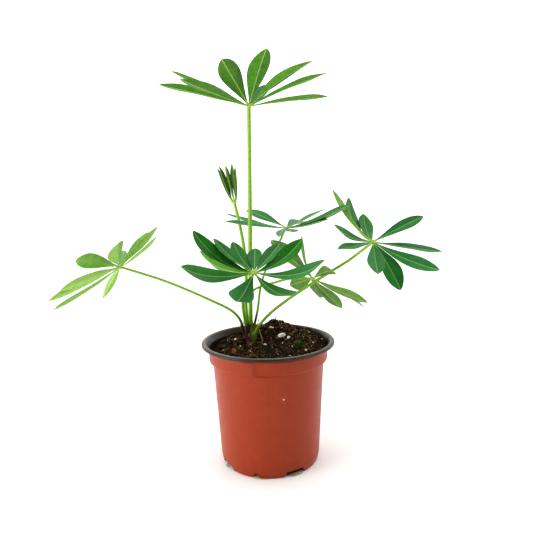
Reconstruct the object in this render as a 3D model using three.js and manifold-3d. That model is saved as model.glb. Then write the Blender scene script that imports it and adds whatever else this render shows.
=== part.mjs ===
// A young lupin plant in a 12 cm nursery pot: six open palmate leaves and one still furled,
// each on its own stalk from one crown, standing in potting mix.
// Millimetres, +Z up. The origin is the centre of the pot's base, on the surface it stands on.
// +X is the viewer's right and +Y points away from the viewer.

import * as THREE from 'three';
import { mergeVertices } from 'three/addons/utils/BufferGeometryUtils.js';
import Module from 'manifold-3d';

const wasm = await Module();
wasm.setup();

// ---- driving dimensions -------------------------------------------------------------------

// The space left between neighbouring pieces, and between a stalk's ends and what it meets.
const clearance = 0.3;
const stalkGap = 0.7;

const pot = {
  height: 110,
  wall: 1.2,
  rimRadius: 60,
  rimDepth: 3.1,
  mouthRadius: 56,
  collarRadius: 53.8,
  collarFoot: 93.6,
  bodyTopRadius: 50.2,
  baseRadius: 45.1,
  baseChamferHeight: 7,
  footRadius: 43.7,
  segments: 48,
};

const wideNotch = { count: 4, first: -62, width: 23, topWidth: 15, height: 5.3 };
const smallNotch = { count: 4, first: -107, width: 4.6, height: 4.3 };
const notchReach = { from: 38.5, to: 50 };

// The collar is pushed in at the front left, with a crease at the left end of the dent.
const dent = { angle: -91, halfAngle: 15, depth: 1.6, low: 93, high: 104 };

const mix = {
  level: 99,
  mound: { x: 6, y: 33, height: 19, radius: 19 },
  shoulder: { x: 44, y: 4, height: 10, radius: 24 },
  backRight: { x: 35, y: 30, height: 8, radius: 19 },
  backLeft: { x: -34, y: 26, height: 5, radius: 16 },
  crumb: 1.5,
  seed: 7,
  segments: 40,
  ringSpacing: 4.4,
};

// Grains of perlite that lie in the surface: place, length, breadth, turn of the long side.
const perliteGrains = [
  { x: 13.5, y: 15, length: 9.4, breadth: 4.8, turn: 35 },
  { x: -3, y: 8, length: 4.2, breadth: 2.8, turn: -20 },
  { x: -31, y: 22, length: 4.6, breadth: 2.6, turn: 80 },
  { x: 3, y: 24, length: 2.8, breadth: 2.4, turn: 0 },
  { x: 19.5, y: 12, length: 3.8, breadth: 3, turn: 10 },
  { x: 33, y: -16, length: 3, breadth: 2.6, turn: 50 },
];
const barkChip = { x: -31, y: -4, length: 6.5, breadth: 4.4, thickness: 1.4, turn: 80, pitch: 62 };

// The crown is the short stem that all the leaf stalks rise from, with its taproot below.
const crown = {
  x: -15.5,
  y: 15.5,
  radius: 4.3,
  shoulderRadius: 5.4,
  shoulder: 109,
  top: 114,
  rootEnd: 52,
  sheathTop: 120,
  sheathExtra: 0.45,
  sides: 12,
  hollow: { foot: 99.4, top: 112, radius: 9 },
};

const hubRadius = 2.3;
const blade = { thickness: 0.65, rootHalfWidth: 0.85, tipHalfWidth: 0.3 };
const stalkSides = 8;
const stalkStep = 11;

// Each leaf: the hub where its leaflets meet, how far its axis leans from upright and toward
// which bearing, its stalk's radius and route from the crown, and its leaflets as
// [turn about the axis, lift above the leaf's plane, length, width, roll about its own length,
// arch along its length, fold of each half up from the midrib], in degrees and millimetres.
const leaves = [
  {
    name: 'top_leaf',
    hub: [-11.4, 0, 315.4],
    lean: 5,
    toward: -65,
    stalkRadius: 1.9,
    route: [[-15.7, 16, 114], [-15.6, 15, 126], [-15.3, 13, 142], [-14.6, 10, 165], [-13.8, 7, 195], [-12.5, 3, 253]],
    leaflets: [
      [8, 8, 70, 11, -20, 6, 14],
      [-30, 17, 74, 11, -6, 8, 14],
      [-43, 23, 73, 17, 3, 15, 14],
      [-79, 23, 80, 17, 10, 7, 14],
      [-105, 20, 73, 16.8, 33, 18, 14],
      [-127, 8, 81, 17, 5, -2, 14],
      [-146, 7, 82, 15, 12, 3, 14],
      [164, 23, 78, 12.3, 23, -7, 14],
      [75, 23, 68, 11, 17, -9, 14],
    ],
  },
  {
    name: 'left_leaf',
    hub: [-132.6, 8, 178.6],
    lean: 41,
    toward: 176,
    stalkRadius: 1.2,
    route: [[-21.4, 16, 112], [-23.4, 15.5, 116], [-24.2, 15, 122], [-26.6, 15, 127], [-32.6, 14.5, 133.7],
      [-52.6, 13, 145], [-92.9, 11, 164]],
    leaflets: [
      [-36, -7, 62, 12.5, -7, -18, 8],
      [-12, 2, 53, 11.6, -18, -9, 8],
      [16, 10, 41, 11, -22, 7, 8],
      [88, 18, 52, 9, 58, 6, 8],
      [-63, 9, 52, 19, 6, 13, 12],
      [-101, 22, 55, 14.7, 18, 19, 8],
      [-110, 5, 78, 12.6, 13, 2, 8],
      [-122, 6, 79, 11.3, 21, 2, 8],
      [-176, 9, 71, 13.8, 12, -12, 8],
      [137, -5, 63, 9.8, 69, 32, 50],
    ],
  },
  {
    name: 'front_leaf',
    hub: [-9.3, -58, 179.6],
    lean: 17,
    toward: -78,
    stalkRadius: 1.3,
    route: [[-19.3, 13, 114], [-20.8, 9, 127], [-21.8, 0, 141], [-19.7, -16, 155], [-14.7, -38, 169]],
    leaflets: [
      [-39, 25, 71, 13, 31, -61, 14],
      [42, 17, 57, 17, 3, -53, 14],
      [66, 7, 52, 14, -5, -11, 14],
      [90, 2, 46, 12.3, -8, 1, 14],
      [111, 6, 54, 13.6, 10, -25, 14],
      [129, 11, 57, 14.3, 14, -26, 14],
      [143, 16, 71, 17, -3, -62, 14],
      [141, 1, 62, 13, 64, -58, 14],
      [-145, 17, 68, 14.2, -34, -62, 14],
      [-105, -2, 50, 19, -14, -70, 14],
      [-58, 7, 59, 15.1, 4, -62, 14],
    ],
  },
  {
    name: 'right_leaf',
    hub: [90.9, -20, 197.9],
    lean: 36,
    toward: -62,
    stalkRadius: 1.3,
    route: [[-10.9, 14, 114], [-8.5, 12.5, 118.6], [-5.6, 11, 123], [3, 8.5, 132.4], [18.3, 6, 144.5],
      [37.4, 4.5, 157.2], [57.5, 5, 169.4], [73.7, -6, 181.7]],
    leaflets: [
      [8, -1, 69, 12.8, -9, -4, 14],
      [34, 16, 60, 11.2, 6, 9, 14],
      [87, -6, 52, 14, 1, -32, 14],
      [101, 1, 67, 15.8, 28, -52, 14],
      [114, 3, 74, 12, 54, -32, 43],
      [-167, 19, 46, 11, -7, -42, 14],
      [-144, 5, 45, 12.1, 18, -7, 14],
      [-96, 1, 44, 14.5, 16, -14, 14],
      [-53, -23, 47, 16.9, 25, 27, 14],
      [-47, 15, 63, 11.9, 37, -41, 14],
    ],
  },
  {
    name: 'back_leaf',
    hub: [19.9, 36, 208.9],
    lean: 7,
    toward: -104,
    stalkRadius: 1.1,
    route: [[-13.4, 18, 113], [-11.2, 19, 123.6], [-9, 20.5, 133], [-7.1, 23.5, 146], [-5.7, 25, 154], [-0.8, 27, 169],
      [5.8, 30, 181]],
    leaflets: [
      [-157, 12, 62, 13, -12, -10, 14],
      [171, 15, 61, 14.3, 2, -20, 14],
      [130, 12, 61, 11, -26, 9, 14],
      [65, -2, 47, 17, 8, 9, 14],
      [39, 12, 55, 14.2, -14, -6, 14],
      [-42, 19, 77, 14.5, 22, -28, 36],
      [-47, 13, 54, 13.9, 5, -16, 14],
      [-80, 5, 45, 11, 6, -20, 14],
      [-100, 0, 45, 9.5, 10, 10, 14],
    ],
  },
  {
    name: 'low_leaf',
    hub: [42.5, 12, 162.8],
    lean: 43,
    toward: 26,
    stalkRadius: 1.1,
    route: [[-19.2, 19.2, 113], [-20.6, 22.2, 122], [-20.8, 22.7, 136], [-18.2, 22.3, 145], [-13.4, 21, 151],
      [-5.6, 18.5, 155.5], [6.9, 15.5, 159.3], [21.7, 13.5, 163]],
    leaflets: [
      [-71, 7, 44, 12.5, 2, 40, 14],
      [-143, -2, 58, 15, 44, 8, 14],
      [143, 39, 59, 8, 32, -32, 30],
      [114, -13, 43, 16.3, 30, -3, 14],
      [73, -1, 47, 16.1, -10, -10, 14],
      [46, 2, 54, 13, -40, -10, 14],
      [-4, 11, 54, 13.1, -20, -13, 14],
      [12, 9, 55, 13, 6, 13, 14],
    ],
  },
];

const furledLeaf = {
  name: 'furled_leaf',
  hub: [-28.2, 28, 234.2],
  lean: 11,
  toward: 180,
  stalkRadius: 1.6,
  route: [[-17.4, 18.1, 115], [-19.1, 18.6, 125], [-19.8, 18.8, 139], [-18.9, 21, 165], [-20.2, 24, 191],
    [-24.3, 26.5, 216]],
  leaflets: { count: 8, rootRadius: 2, lift: 79, length: 36, width: 7, fold: 66, arch: -16 },
};

// ---- materials ------------------------------------------------------------------------------

const finish = (color, roughness) => new THREE.MeshStandardMaterial({ color, roughness, metalness: 0 });

const terracottaPlastic = finish('#a34a30', 0.45);
const pottingMix = finish('#33261b', 0.95);
const perlite = finish('#e9e6da', 0.9);
const bark = finish('#9a5a22', 0.85);
const crownSkin = finish('#5d3b2a', 0.55);
const stalkSkin = finish('#86a83c', 0.5);
const leafTop = finish('#2f6f3a', 0.5);
const leafUnderside = finish('#6f9f58', 0.6);
const youngLeaf = finish('#4d7f3a', 0.6);

// ---- solids and joins -----------------------------------------------------------------------

const radians = THREE.MathUtils.degToRad;
const vector = (xyz) => new THREE.Vector3(...xyz);

// A closed geometry as a solid, with its shared points merged and its empty triangles left out.
function solidOf(geometry) {
  const bare = geometry.clone();
  bare.deleteAttribute('normal');
  bare.deleteAttribute('uv');
  const merged = mergeVertices(bare, 1e-4);
  const corners = [];
  for (let i = 0; i < merged.index.count; i += 3) {
    const [a, b, c] = [0, 1, 2].map((k) => merged.index.getX(i + k));
    if (a !== b && b !== c && c !== a) corners.push(a, b, c);
  }
  return new wasm.Manifold(new wasm.Mesh({
    numProp: 3,
    vertProperties: new Float32Array(merged.attributes.position.array),
    triVerts: new Uint32Array(corners),
  }));
}

function geometryOf(solid) {
  const { vertProperties, triVerts } = solid.getMesh();
  const geometry = new THREE.BufferGeometry();
  geometry.setAttribute('position', new THREE.BufferAttribute(new Float32Array(vertProperties), 3));
  geometry.setIndex(new THREE.BufferAttribute(new Uint32Array(triVerts), 1));
  geometry.computeVertexNormals();
  return geometry;
}

const fuse = (geometries) => geometries.map(solidOf).reduce((whole, piece) => whole.add(piece));

function namedMesh(name, geometry, material) {
  const mesh = new THREE.Mesh(geometry, material);
  mesh.name = name;
  return mesh;
}

// Turns a [radius, height] profile about the vertical axis.
function turned(profile, segments) {
  const points = profile.map(([radius, height]) => new THREE.Vector2(radius, height));
  return new THREE.LatheGeometry(points, segments).rotateX(Math.PI / 2);
}

function movePoints(geometry, move) {
  const position = geometry.attributes.position;
  const point = new THREE.Vector3();
  for (let i = 0; i < position.count; i += 1) {
    move(point.fromBufferAttribute(position, i));
    position.setXYZ(i, point.x, point.y, point.z);
  }
  return geometry;
}

// ---- pot ------------------------------------------------------------------------------------

// Outer radius of the straight body at a height above the surface.
function bodyRadius(height) {
  const rise = (height - pot.baseChamferHeight) / (pot.collarFoot - pot.baseChamferHeight);
  return pot.baseRadius + (pot.bodyTopRadius - pot.baseRadius) * rise;
}

function potProfile() {
  const { height, wall, rimRadius, mouthRadius, collarRadius, collarFoot } = pot;
  const rimFoot = height - pot.rimDepth;
  const bodyTop = collarFoot - 2;
  const outside = [
    [pot.footRadius - 0.8, 0],
    [pot.footRadius, 0.5],
    [pot.baseRadius, pot.baseChamferHeight],
    [bodyRadius(bodyTop), bodyTop],
    [bodyRadius(bodyTop) + 0.7, bodyTop + 1.1],
    [collarRadius - 1.1, collarFoot],
    [collarRadius - 0.3, collarFoot + 1.1],
    [collarRadius, rimFoot - 1],
    [collarRadius + 0.7, rimFoot],
    [rimRadius - 0.8, rimFoot + 0.1],
    [rimRadius, rimFoot + 0.9],
    [rimRadius - 0.1, height - 0.8],
    [rimRadius - 0.9, height],
  ];
  const inside = [
    [mouthRadius + 0.6, height],
    [mouthRadius - 0.6, height - 0.9],
    [collarRadius - wall + 0.3, height - 5],
    [collarRadius - wall, height - 7],
    [collarRadius - wall - 0.3, collarFoot + 1.7],
    [collarRadius - wall - 1.3, collarFoot + 0.4],
    [bodyRadius(bodyTop) - wall + 0.3, collarFoot - 0.6],
    [bodyRadius(bodyTop) - wall, bodyTop - 0.6],
    [pot.baseRadius - wall, pot.baseChamferHeight],
    [pot.footRadius - wall, wall + 0.6],
    [pot.footRadius - wall - 0.7, wall],
  ];
  return [[0, 0], ...outside, ...inside, [0, wall]];
}

// How far the dent pushes a point of the collar inwards.
function dentDepth(point) {
  const bearing = THREE.MathUtils.radToDeg(Math.atan2(point.y, point.x));
  const across = (bearing - dent.angle) / dent.halfAngle;
  const up = (point.z - dent.low) / (dent.high - dent.low);
  if (Math.abs(across) >= 1 || up <= 0 || up >= 1) return 0;
  return dent.depth * Math.cos(across * Math.PI / 2) * Math.sin(up * Math.PI);
}

function pushIn(point) {
  const radius = Math.hypot(point.x, point.y);
  if (radius < 1) return;
  const scale = 1 - dentDepth(point) / radius;
  point.x *= scale;
  point.y *= scale;
}

// A cutter through the foot of the wall, its outline drawn across and up, facing a bearing.
function notchCutter(outline, bearing) {
  const cutter = new THREE.ExtrudeGeometry(outline, {
    depth: notchReach.to - notchReach.from,
    bevelEnabled: false,
    curveSegments: 5,
  });
  return cutter
    .translate(0, 0, notchReach.from)
    .applyMatrix4(new THREE.Matrix4().makeBasis(
      new THREE.Vector3(0, 1, 0),
      new THREE.Vector3(0, 0, 1),
      new THREE.Vector3(1, 0, 0),
    ))
    .rotateZ(radians(bearing));
}

function wideNotchOutline() {
  const { width, topWidth, height } = wideNotch;
  return new THREE.Shape([
    new THREE.Vector2(-width / 2, -1),
    new THREE.Vector2(width / 2, -1),
    new THREE.Vector2(topWidth / 2, height),
    new THREE.Vector2(-topWidth / 2, height),
  ]);
}

function smallNotchOutline() {
  const half = smallNotch.width / 2;
  const outline = new THREE.Shape();
  outline.moveTo(-half, -1);
  outline.lineTo(half, -1);
  outline.absarc(0, smallNotch.height - half, half, 0, Math.PI, false);
  return outline;
}

function makePot() {
  let body = solidOf(movePoints(turned(potProfile(), pot.segments), pushIn));
  for (const [notch, outline] of [[wideNotch, wideNotchOutline()], [smallNotch, smallNotchOutline()]]) {
    for (let k = 0; k < notch.count; k += 1) {
      const bearing = notch.first + k * 360 / notch.count;
      body = body.subtract(solidOf(notchCutter(outline, bearing)));
    }
  }
  return namedMesh('pot', geometryOf(body), terracottaPlastic);
}

// ---- potting mix, with perlite and bark in its surface ----------------------------------------

// A repeatable number from 0 to 1 for each grid place.
function scatter(i, j) {
  const value = Math.sin(i * 127.1 + j * 311.7 + mix.seed * 74.7) * 43758.5453;
  return value - Math.floor(value);
}

const hill = ({ x, y, height, radius }, px, py) =>
  height * Math.exp(-((px - x) ** 2 + (py - y) ** 2) / (radius * radius));

function surfaceHeight(x, y) {
  const hills = [mix.mound, mix.shoulder, mix.backRight, mix.backLeft];
  return hills.reduce((height, each) => height + hill(each, x, y), mix.level);
}

function crownProfile(grow) {
  return [
    [0, crown.rootEnd - grow],
    [0.9 + grow, crown.rootEnd - grow],
    [2.2 + grow, 70],
    [crown.radius - 0.6 + grow, 92],
    [crown.radius + grow, 99],
    [crown.radius + 0.1 + grow, 104],
    [crown.shoulderRadius + grow, crown.shoulder],
    [crown.shoulderRadius - 0.4 + grow, crown.top - 2],
    [2.6 + grow, crown.top + grow],
    [0, crown.top + 0.8 + grow],
  ];
}

// The hollow in the mix that opens upwards round the spreading stalks.
function hollowProfile() {
  const { foot, top, radius } = crown.hollow;
  return [
    [0, foot],
    [crown.radius + clearance, foot],
    [radius, top],
    [0, top],
  ];
}

const atCrown = (geometry) => geometry.translate(crown.x, crown.y, 0);

function mixProfile() {
  const inner = (height) => bodyRadius(height) - pot.wall - clearance;
  const collarInside = pot.collarRadius - pot.wall - 0.3 - clearance;
  const top = mix.level - 1;
  const profile = [
    [0, pot.wall + clearance],
    [pot.footRadius - pot.wall - clearance - 0.9, pot.wall + clearance],
    [pot.footRadius - pot.wall - clearance, pot.wall + 1],
    [pot.baseRadius - pot.wall - clearance, pot.baseChamferHeight],
    [inner(pot.collarFoot - 2), pot.collarFoot - 2.6],
    [inner(pot.collarFoot - 2) + 0.1, pot.collarFoot - 0.2],
    [collarInside - dent.depth - 0.4, pot.collarFoot + 1.6],
    [collarInside - dent.depth, pot.collarFoot + 3],
    [collarInside - dent.depth, top],
  ];
  const rings = Math.floor(collarInside / mix.ringSpacing);
  for (let ring = rings; ring > 0; ring -= 1) {
    profile.push([ring * mix.ringSpacing - 0.6, top + 1]);
  }
  profile.push([0, top + 1]);
  return profile;
}

function raiseSurface(point) {
  const top = mix.level - 1;
  if (point.z < top - 0.01) return;
  const edge = point.z < top + 0.5 ? -1 : 0;
  const roughness = mix.crumb * (2 * scatter(Math.round(point.x * 3), Math.round(point.y * 3)) - 1);
  point.z = Math.max(surfaceHeight(point.x, point.y) + edge + roughness, mix.level - 2.5);
}

function grainSolid({ length, breadth, turn, height }, grow) {
  return new THREE.IcosahedronGeometry(0.5, length > 5 ? 1 : 0)
    .scale(length + 2 * grow, breadth + 2 * grow, breadth + 2 * grow)
    .rotateZ(radians(turn))
    .translate(0, 0, height);
}

function placedGrain(grain, grow) {
  const height = surfaceHeight(grain.x, grain.y) + grain.breadth * 0.15;
  return grainSolid({ ...grain, height }, grow).translate(grain.x, grain.y, 0);
}

function placedChip(grow) {
  const { x, y, length, breadth, thickness, turn, pitch } = barkChip;
  return new THREE.BoxGeometry(length + 2 * grow, breadth + 2 * grow, thickness + 2 * grow)
    .rotateY(radians(-pitch))
    .rotateZ(radians(turn))
    .translate(x, y, surfaceHeight(x, y) + 1);
}

function makeMix() {
  let body = solidOf(movePoints(turned(mixProfile(), mix.segments), raiseSurface));
  for (const profile of [crownProfile(clearance), hollowProfile()]) {
    body = body.subtract(solidOf(atCrown(turned(profile, crown.sides))));
  }
  for (const grain of perliteGrains) body = body.subtract(solidOf(placedGrain(grain, clearance)));
  body = body.subtract(solidOf(placedChip(clearance)));
  const parts = body.decompose().sort((a, b) => b.volume() - a.volume());
  return namedMesh('potting_mix', geometryOf(parts[0]), pottingMix);
}

const makeGrains = () => perliteGrains.map((grain, i) =>
  namedMesh(`perlite_grain_${i + 1}`, geometryOf(solidOf(placedGrain(grain, 0))), perlite));

const makeChip = () => namedMesh('bark_chip', geometryOf(solidOf(placedChip(0))), bark);

// ---- crown and leaf stalks ----------------------------------------------------------------------

const crownHeart = [crown.x, crown.y, 104];

const stalkCurve = (leaf) =>
  new THREE.CatmullRomCurve3([crownHeart, ...leaf.route, leaf.hub].map(vector), false, 'centripetal');

// The share of a curve's length at which it first passes a height.
function shareAtHeight(curve, height) {
  const steps = 400;
  for (let i = 1; i <= steps; i += 1) {
    if (curve.getPointAt(i / steps).z >= height) return i / steps;
  }
  return 1;
}

function tube(curve, from, to, radius, steps, sides) {
  const points = [];
  for (let i = 0; i <= steps; i += 1) points.push(curve.getPointAt(from + (to - from) * i / steps));
  const section = new THREE.Shape();
  for (let k = 0; k < sides; k += 1) {
    const angle = 2 * Math.PI * k / sides;
    const method = k === 0 ? 'moveTo' : 'lineTo';
    section[method](radius * Math.cos(angle), radius * Math.sin(angle));
  }
  return new THREE.ExtrudeGeometry(section, {
    steps,
    bevelEnabled: false,
    extrudePath: new THREE.CatmullRomCurve3(points, false, 'centripetal'),
  });
}

function makeStalk(leaf) {
  const curve = stalkCurve(leaf);
  const length = curve.getLength();
  const from = shareAtHeight(curve, crown.sheathTop);
  const to = 1 - (hubRadius + stalkGap) / length;
  const steps = Math.round(length / stalkStep);
  const geometry = tube(curve, from, to, leaf.stalkRadius, steps, stalkSides);
  return namedMesh(`${leaf.name}_stalk`, geometryOf(solidOf(geometry)), stalkSkin);
}

function makeCrown(allLeaves) {
  const pieces = [atCrown(turned(crownProfile(0), crown.sides))];
  for (const leaf of allLeaves) {
    const curve = stalkCurve(leaf);
    const to = shareAtHeight(curve, crown.sheathTop) - stalkGap / curve.getLength();
    pieces.push(tube(curve, 0.01, to, leaf.stalkRadius + crown.sheathExtra, 4, stalkSides));
  }
  return namedMesh('crown', geometryOf(fuse(pieces)), crownSkin);
}

// ---- leaves -----------------------------------------------------------------------------------

const stations = [0, 0.16, 0.34, 0.52, 0.68, 0.82, 0.94, 1];

// Half the width of a leaflet at a share of its length: narrow root, widest past the middle.
function halfWidth(share, width) {
  const bulge = Math.sin(Math.PI * share ** 1.65) ** 0.76;
  const least = blade.rootHalfWidth + (blade.tipHalfWidth - blade.rootHalfWidth) * share;
  return Math.max(least, bulge * width / 2);
}

// One leaflet along +X with its upper side to +Z: an arched strip, folded up along its midrib.
function leafletGeometry(length, width, archAngle, fold) {
  const arc = radians(archAngle);
  const lift = radians(fold);
  const positions = [];
  for (const share of stations) {
    const slope = arc * (0.5 - share);
    const x = length * (Math.sin(arc / 2) - Math.sin(slope)) / arc;
    const z = length * (Math.cos(slope) - Math.cos(arc / 2)) / arc;
    const half = halfWidth(share, width);
    for (const depth of [0, blade.thickness]) {
      for (const side of [-1, 0, 1]) {
        const drop = side === 0 ? depth / Math.cos(lift) : depth * Math.cos(lift);
        const rise = Math.abs(side) * half * Math.sin(lift) - drop;
        positions.push(
          x - Math.sin(slope) * rise,
          side * (half * Math.cos(lift) + depth * Math.sin(lift)),
          z + Math.cos(slope) * rise,
        );
      }
    }
  }
  const corners = [];
  const quad = (a, b, c, d) => corners.push(a, b, c, a, c, d);
  const last = (stations.length - 1) * 6;
  for (let i = 0; i < last; i += 6) {
    const next = i + 6;
    for (const side of [0, 1]) {
      quad(i + side, next + side, next + side + 1, i + side + 1);
      corners.push(i + side + 3, next + side + 4, next + side + 3, i + side + 3, i + side + 4, next + side + 4);
    }
    quad(i, i + 3, next + 3, next);
    quad(i + 2, next + 2, next + 5, i + 5);
  }
  quad(0, 1, 4, 3);
  quad(1, 2, 5, 4);
  quad(last, last + 3, last + 4, last + 1);
  quad(last + 1, last + 4, last + 5, last + 2);
  const geometry = new THREE.BufferGeometry();
  geometry.setAttribute('position', new THREE.Float32BufferAttribute(positions, 3));
  geometry.setIndex(corners);
  return geometry;
}

// Places leaf-frame geometry at a leaf's hub: its +Z becomes the leaf's axis, and its +X the
// direction in the leaf's plane that lies nearest to the part's +X.
function atHub(geometry, leaf) {
  const lean = radians(leaf.lean);
  const toward = radians(leaf.toward);
  const axis = new THREE.Vector3(
    Math.sin(lean) * Math.cos(toward),
    Math.sin(lean) * Math.sin(toward),
    Math.cos(lean),
  );
  const across = new THREE.Vector3(1, 0, 0).projectOnPlane(axis).normalize();
  const along = new THREE.Vector3().crossVectors(axis, across);
  return geometry
    .applyMatrix4(new THREE.Matrix4().makeBasis(across, along, axis))
    .translate(...leaf.hub);
}

const hubLump = () => new THREE.SphereGeometry(hubRadius, 10, 6).rotateX(Math.PI / 2);

function makeOpenLeaf(leaf) {
  const pieces = [hubLump()];
  for (const [turn, lift, length, width, roll, arch, fold] of leaf.leaflets) {
    pieces.push(leafletGeometry(length, width, arch, fold)
      .rotateX(radians(roll))
      .rotateY(radians(-lift))
      .rotateZ(radians(turn)));
  }
  const material = ['top_leaf', 'left_leaf', 'low_leaf'].includes(leaf.name) ? leafUnderside : leafTop;
  return namedMesh(leaf.name, atHub(geometryOf(fuse(pieces)), leaf), material);
}

function makeFurledLeaf(leaf) {
  const { count, rootRadius, lift, length, width, fold, arch } = leaf.leaflets;
  const pieces = [hubLump()];
  for (let k = 0; k < count; k += 1) {
    pieces.push(leafletGeometry(length * (1 - 0.1 * scatter(k, 3)), width, arch, fold)
      .rotateY(radians(-lift))
      .translate(rootRadius, 0, 0)
      .rotateZ(radians(360 * k / count)));
  }
  return namedMesh(leaf.name, atHub(geometryOf(fuse(pieces)), leaf), youngLeaf);
}

// ---- assembly -----------------------------------------------------------------------------------

const pottedLupin = new THREE.Group();
pottedLupin.add(makePot(), makeMix(), ...makeGrains(), makeChip());
pottedLupin.add(makeCrown([...leaves, furledLeaf]));
for (const leaf of leaves) pottedLupin.add(makeStalk(leaf), makeOpenLeaf(leaf));
pottedLupin.add(makeStalk(furledLeaf), makeFurledLeaf(furledLeaf));

export default pottedLupin;
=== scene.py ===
"""A young lupin in a 12 cm nursery pot. Sizes are in millimetres; pieces are made in metres."""
import math
import random

import bmesh
import bpy
from mathutils import Matrix, Vector, noise


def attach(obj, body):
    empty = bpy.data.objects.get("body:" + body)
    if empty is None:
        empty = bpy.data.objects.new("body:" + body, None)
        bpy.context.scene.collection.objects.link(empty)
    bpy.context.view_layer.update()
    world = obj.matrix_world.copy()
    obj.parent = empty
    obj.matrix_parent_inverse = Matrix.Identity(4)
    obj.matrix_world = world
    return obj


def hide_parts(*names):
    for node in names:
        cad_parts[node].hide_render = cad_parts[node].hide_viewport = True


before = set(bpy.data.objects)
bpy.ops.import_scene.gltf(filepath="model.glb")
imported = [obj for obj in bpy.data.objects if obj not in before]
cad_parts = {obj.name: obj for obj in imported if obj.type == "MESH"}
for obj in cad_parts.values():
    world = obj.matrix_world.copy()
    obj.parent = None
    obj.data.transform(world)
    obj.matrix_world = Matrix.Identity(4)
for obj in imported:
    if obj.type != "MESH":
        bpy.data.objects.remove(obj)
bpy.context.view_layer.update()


# ---- pot ------------------------------------------------------------------------------------
# A round nursery pot, injection moulded in one piece of polypropylene, terracotta-coloured
# outside and black-brown at the rim and inside. A collar hangs under the rim, pushed in at the
# front, and eight drainage notches run through the foot.

METRES_PER_MM = 0.001

pot = {
    "height": 110, "wall": 1.2, "rim_radius": 60, "rim_depth": 3.1, "mouth_radius": 56,
    "collar_radius": 53.8, "collar_foot": 93.6, "body_top_radius": 50.2, "base_radius": 45.1,
    "chamfer_height": 7, "foot_radius": 43.7, "segments": 288,
}
wide_notch = {"count": 4, "first": -62, "width": 23, "top_width": 15, "height": 5.3}
small_notch = {"count": 4, "first": -107, "width": 4.6, "height": 4.3}
notch_reach = {"from": 38.5, "to": 50}
dent = {"crease": -104, "end": -70, "depth": 2.4, "low": 91.5, "high": 105.5, "steep_share": 0.1}


def srgb(code):
    """A colour written as an sRGB hex code, as linear red, green, blue and alpha."""
    shares = [int(code[i:i + 2], 16) / 255 for i in (1, 3, 5)]
    linear = [c / 12.92 if c <= 0.04045 else ((c + 0.055) / 1.055) ** 2.4 for c in shares]
    return (*linear, 1.0)


def add_node(tree, kind, settings=None, inputs=None):
    """Add a shader node with its settings. An input takes a value, a colour code, or a link from
    a socket or from the first output of a node."""
    node = tree.nodes.new("ShaderNode" + kind)
    for name, value in (settings or {}).items():
        setattr(node, name, value)
    for name, value in (inputs or {}).items():
        if isinstance(value, bpy.types.Node):
            value = value.outputs[0]
        if isinstance(value, bpy.types.NodeSocket):
            tree.links.new(value, node.inputs[name])
        else:
            node.inputs[name].default_value = srgb(value) if isinstance(value, str) else value
    return node


def new_material(name, *measures):
    """A node material and its tree, with the place in space and the named measures of a mesh."""
    material = bpy.data.materials.new(name)
    material.use_nodes = True
    tree = material.node_tree
    tree.nodes.clear()
    given = [add_node(tree, "NewGeometry").outputs["Position"]]
    for measure in measures:
        given.append(add_node(tree, "Attribute", {"attribute_name": measure}).outputs["Fac"])
    return material, tree, *given


def give_surface(tree, inputs):
    """Close a material with its shader."""
    shader = add_node(tree, "BsdfPrincipled", inputs=inputs)
    add_node(tree, "OutputMaterial", inputs={"Surface": shader})


def blend_colours(tree, share, first, second, blend="MIX"):
    """The colour that a share from 0 to 1 picks between two colours."""
    mix = add_node(tree, "Mix", {"data_type": "RGBA", "blend_type": blend},
                   {0: share, 6: first, 7: second})
    return mix.outputs[2]


def moulded_polypropylene(name, colour, scuff_and_highlight_colour, roughness, highlight_above=0.2):
    """Moulded polypropylene: a satin sheen over very fine grain, with paler scuffs and handling
    marks, a painted highlight in the paler colour above a height (the default is above the pot),
    and faint flow waves that break up the highlights. The grain is drawn at 1.1 mm, coarser than it
    is, so that it shows."""
    material, tree, place = new_material(name)
    scuffs = add_node(tree, "TexNoise", inputs={
        "Vector": place, "Scale": 1 / 0.009, "Detail": 6.0, "Roughness": 0.7})
    scuffed = add_node(tree, "MapRange", inputs={
        "Value": scuffs, "From Min": 0.5, "From Max": 0.78, "To Max": 0.35})
    height = add_node(tree, "SeparateXYZ", inputs={0: place}).outputs["Z"]
    # Painted highlight: above the given height the plastic is blended towards the paler colour.
    painted_rim_highlight = add_node(tree, "MapRange", inputs={
        "Value": height, "From Min": highlight_above, "From Max": highlight_above + 0.0006, "To Max": 0.9})
    # The paler colour is taken both by real scuffs and by the painted highlight.
    scuffs_and_painted_highlight = add_node(tree, "Math", {"operation": "MAXIMUM"}, {0: scuffed, 1: painted_rim_highlight})
    grain = add_node(tree, "TexNoise", inputs={"Vector": place, "Scale": 1 / 0.0011, "Detail": 2.0})
    flow = add_node(tree, "TexNoise", inputs={"Vector": place, "Scale": 1 / 0.02, "Detail": 1.0})
    gloss = add_node(tree, "MapRange", inputs={
        "Value": scuffs, "From Min": 0.3, "From Max": 0.8, "To Min": roughness - 0.06,
        "To Max": roughness + 0.16})
    waves = add_node(tree, "Bump", inputs={"Height": flow, "Strength": 0.25, "Distance": 0.0012})
    relief = add_node(tree, "Bump", inputs={
        "Height": grain, "Strength": 0.25, "Distance": 0.0001, "Normal": waves})
    give_surface(tree, {
        "Base Color": blend_colours(tree, scuffs_and_painted_highlight, colour, scuff_and_highlight_colour),
        "Roughness": gloss,
        "IOR": 1.49,
        "Specular IOR Level": 0.36,
        "Normal": relief,
    })
    return material


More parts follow.
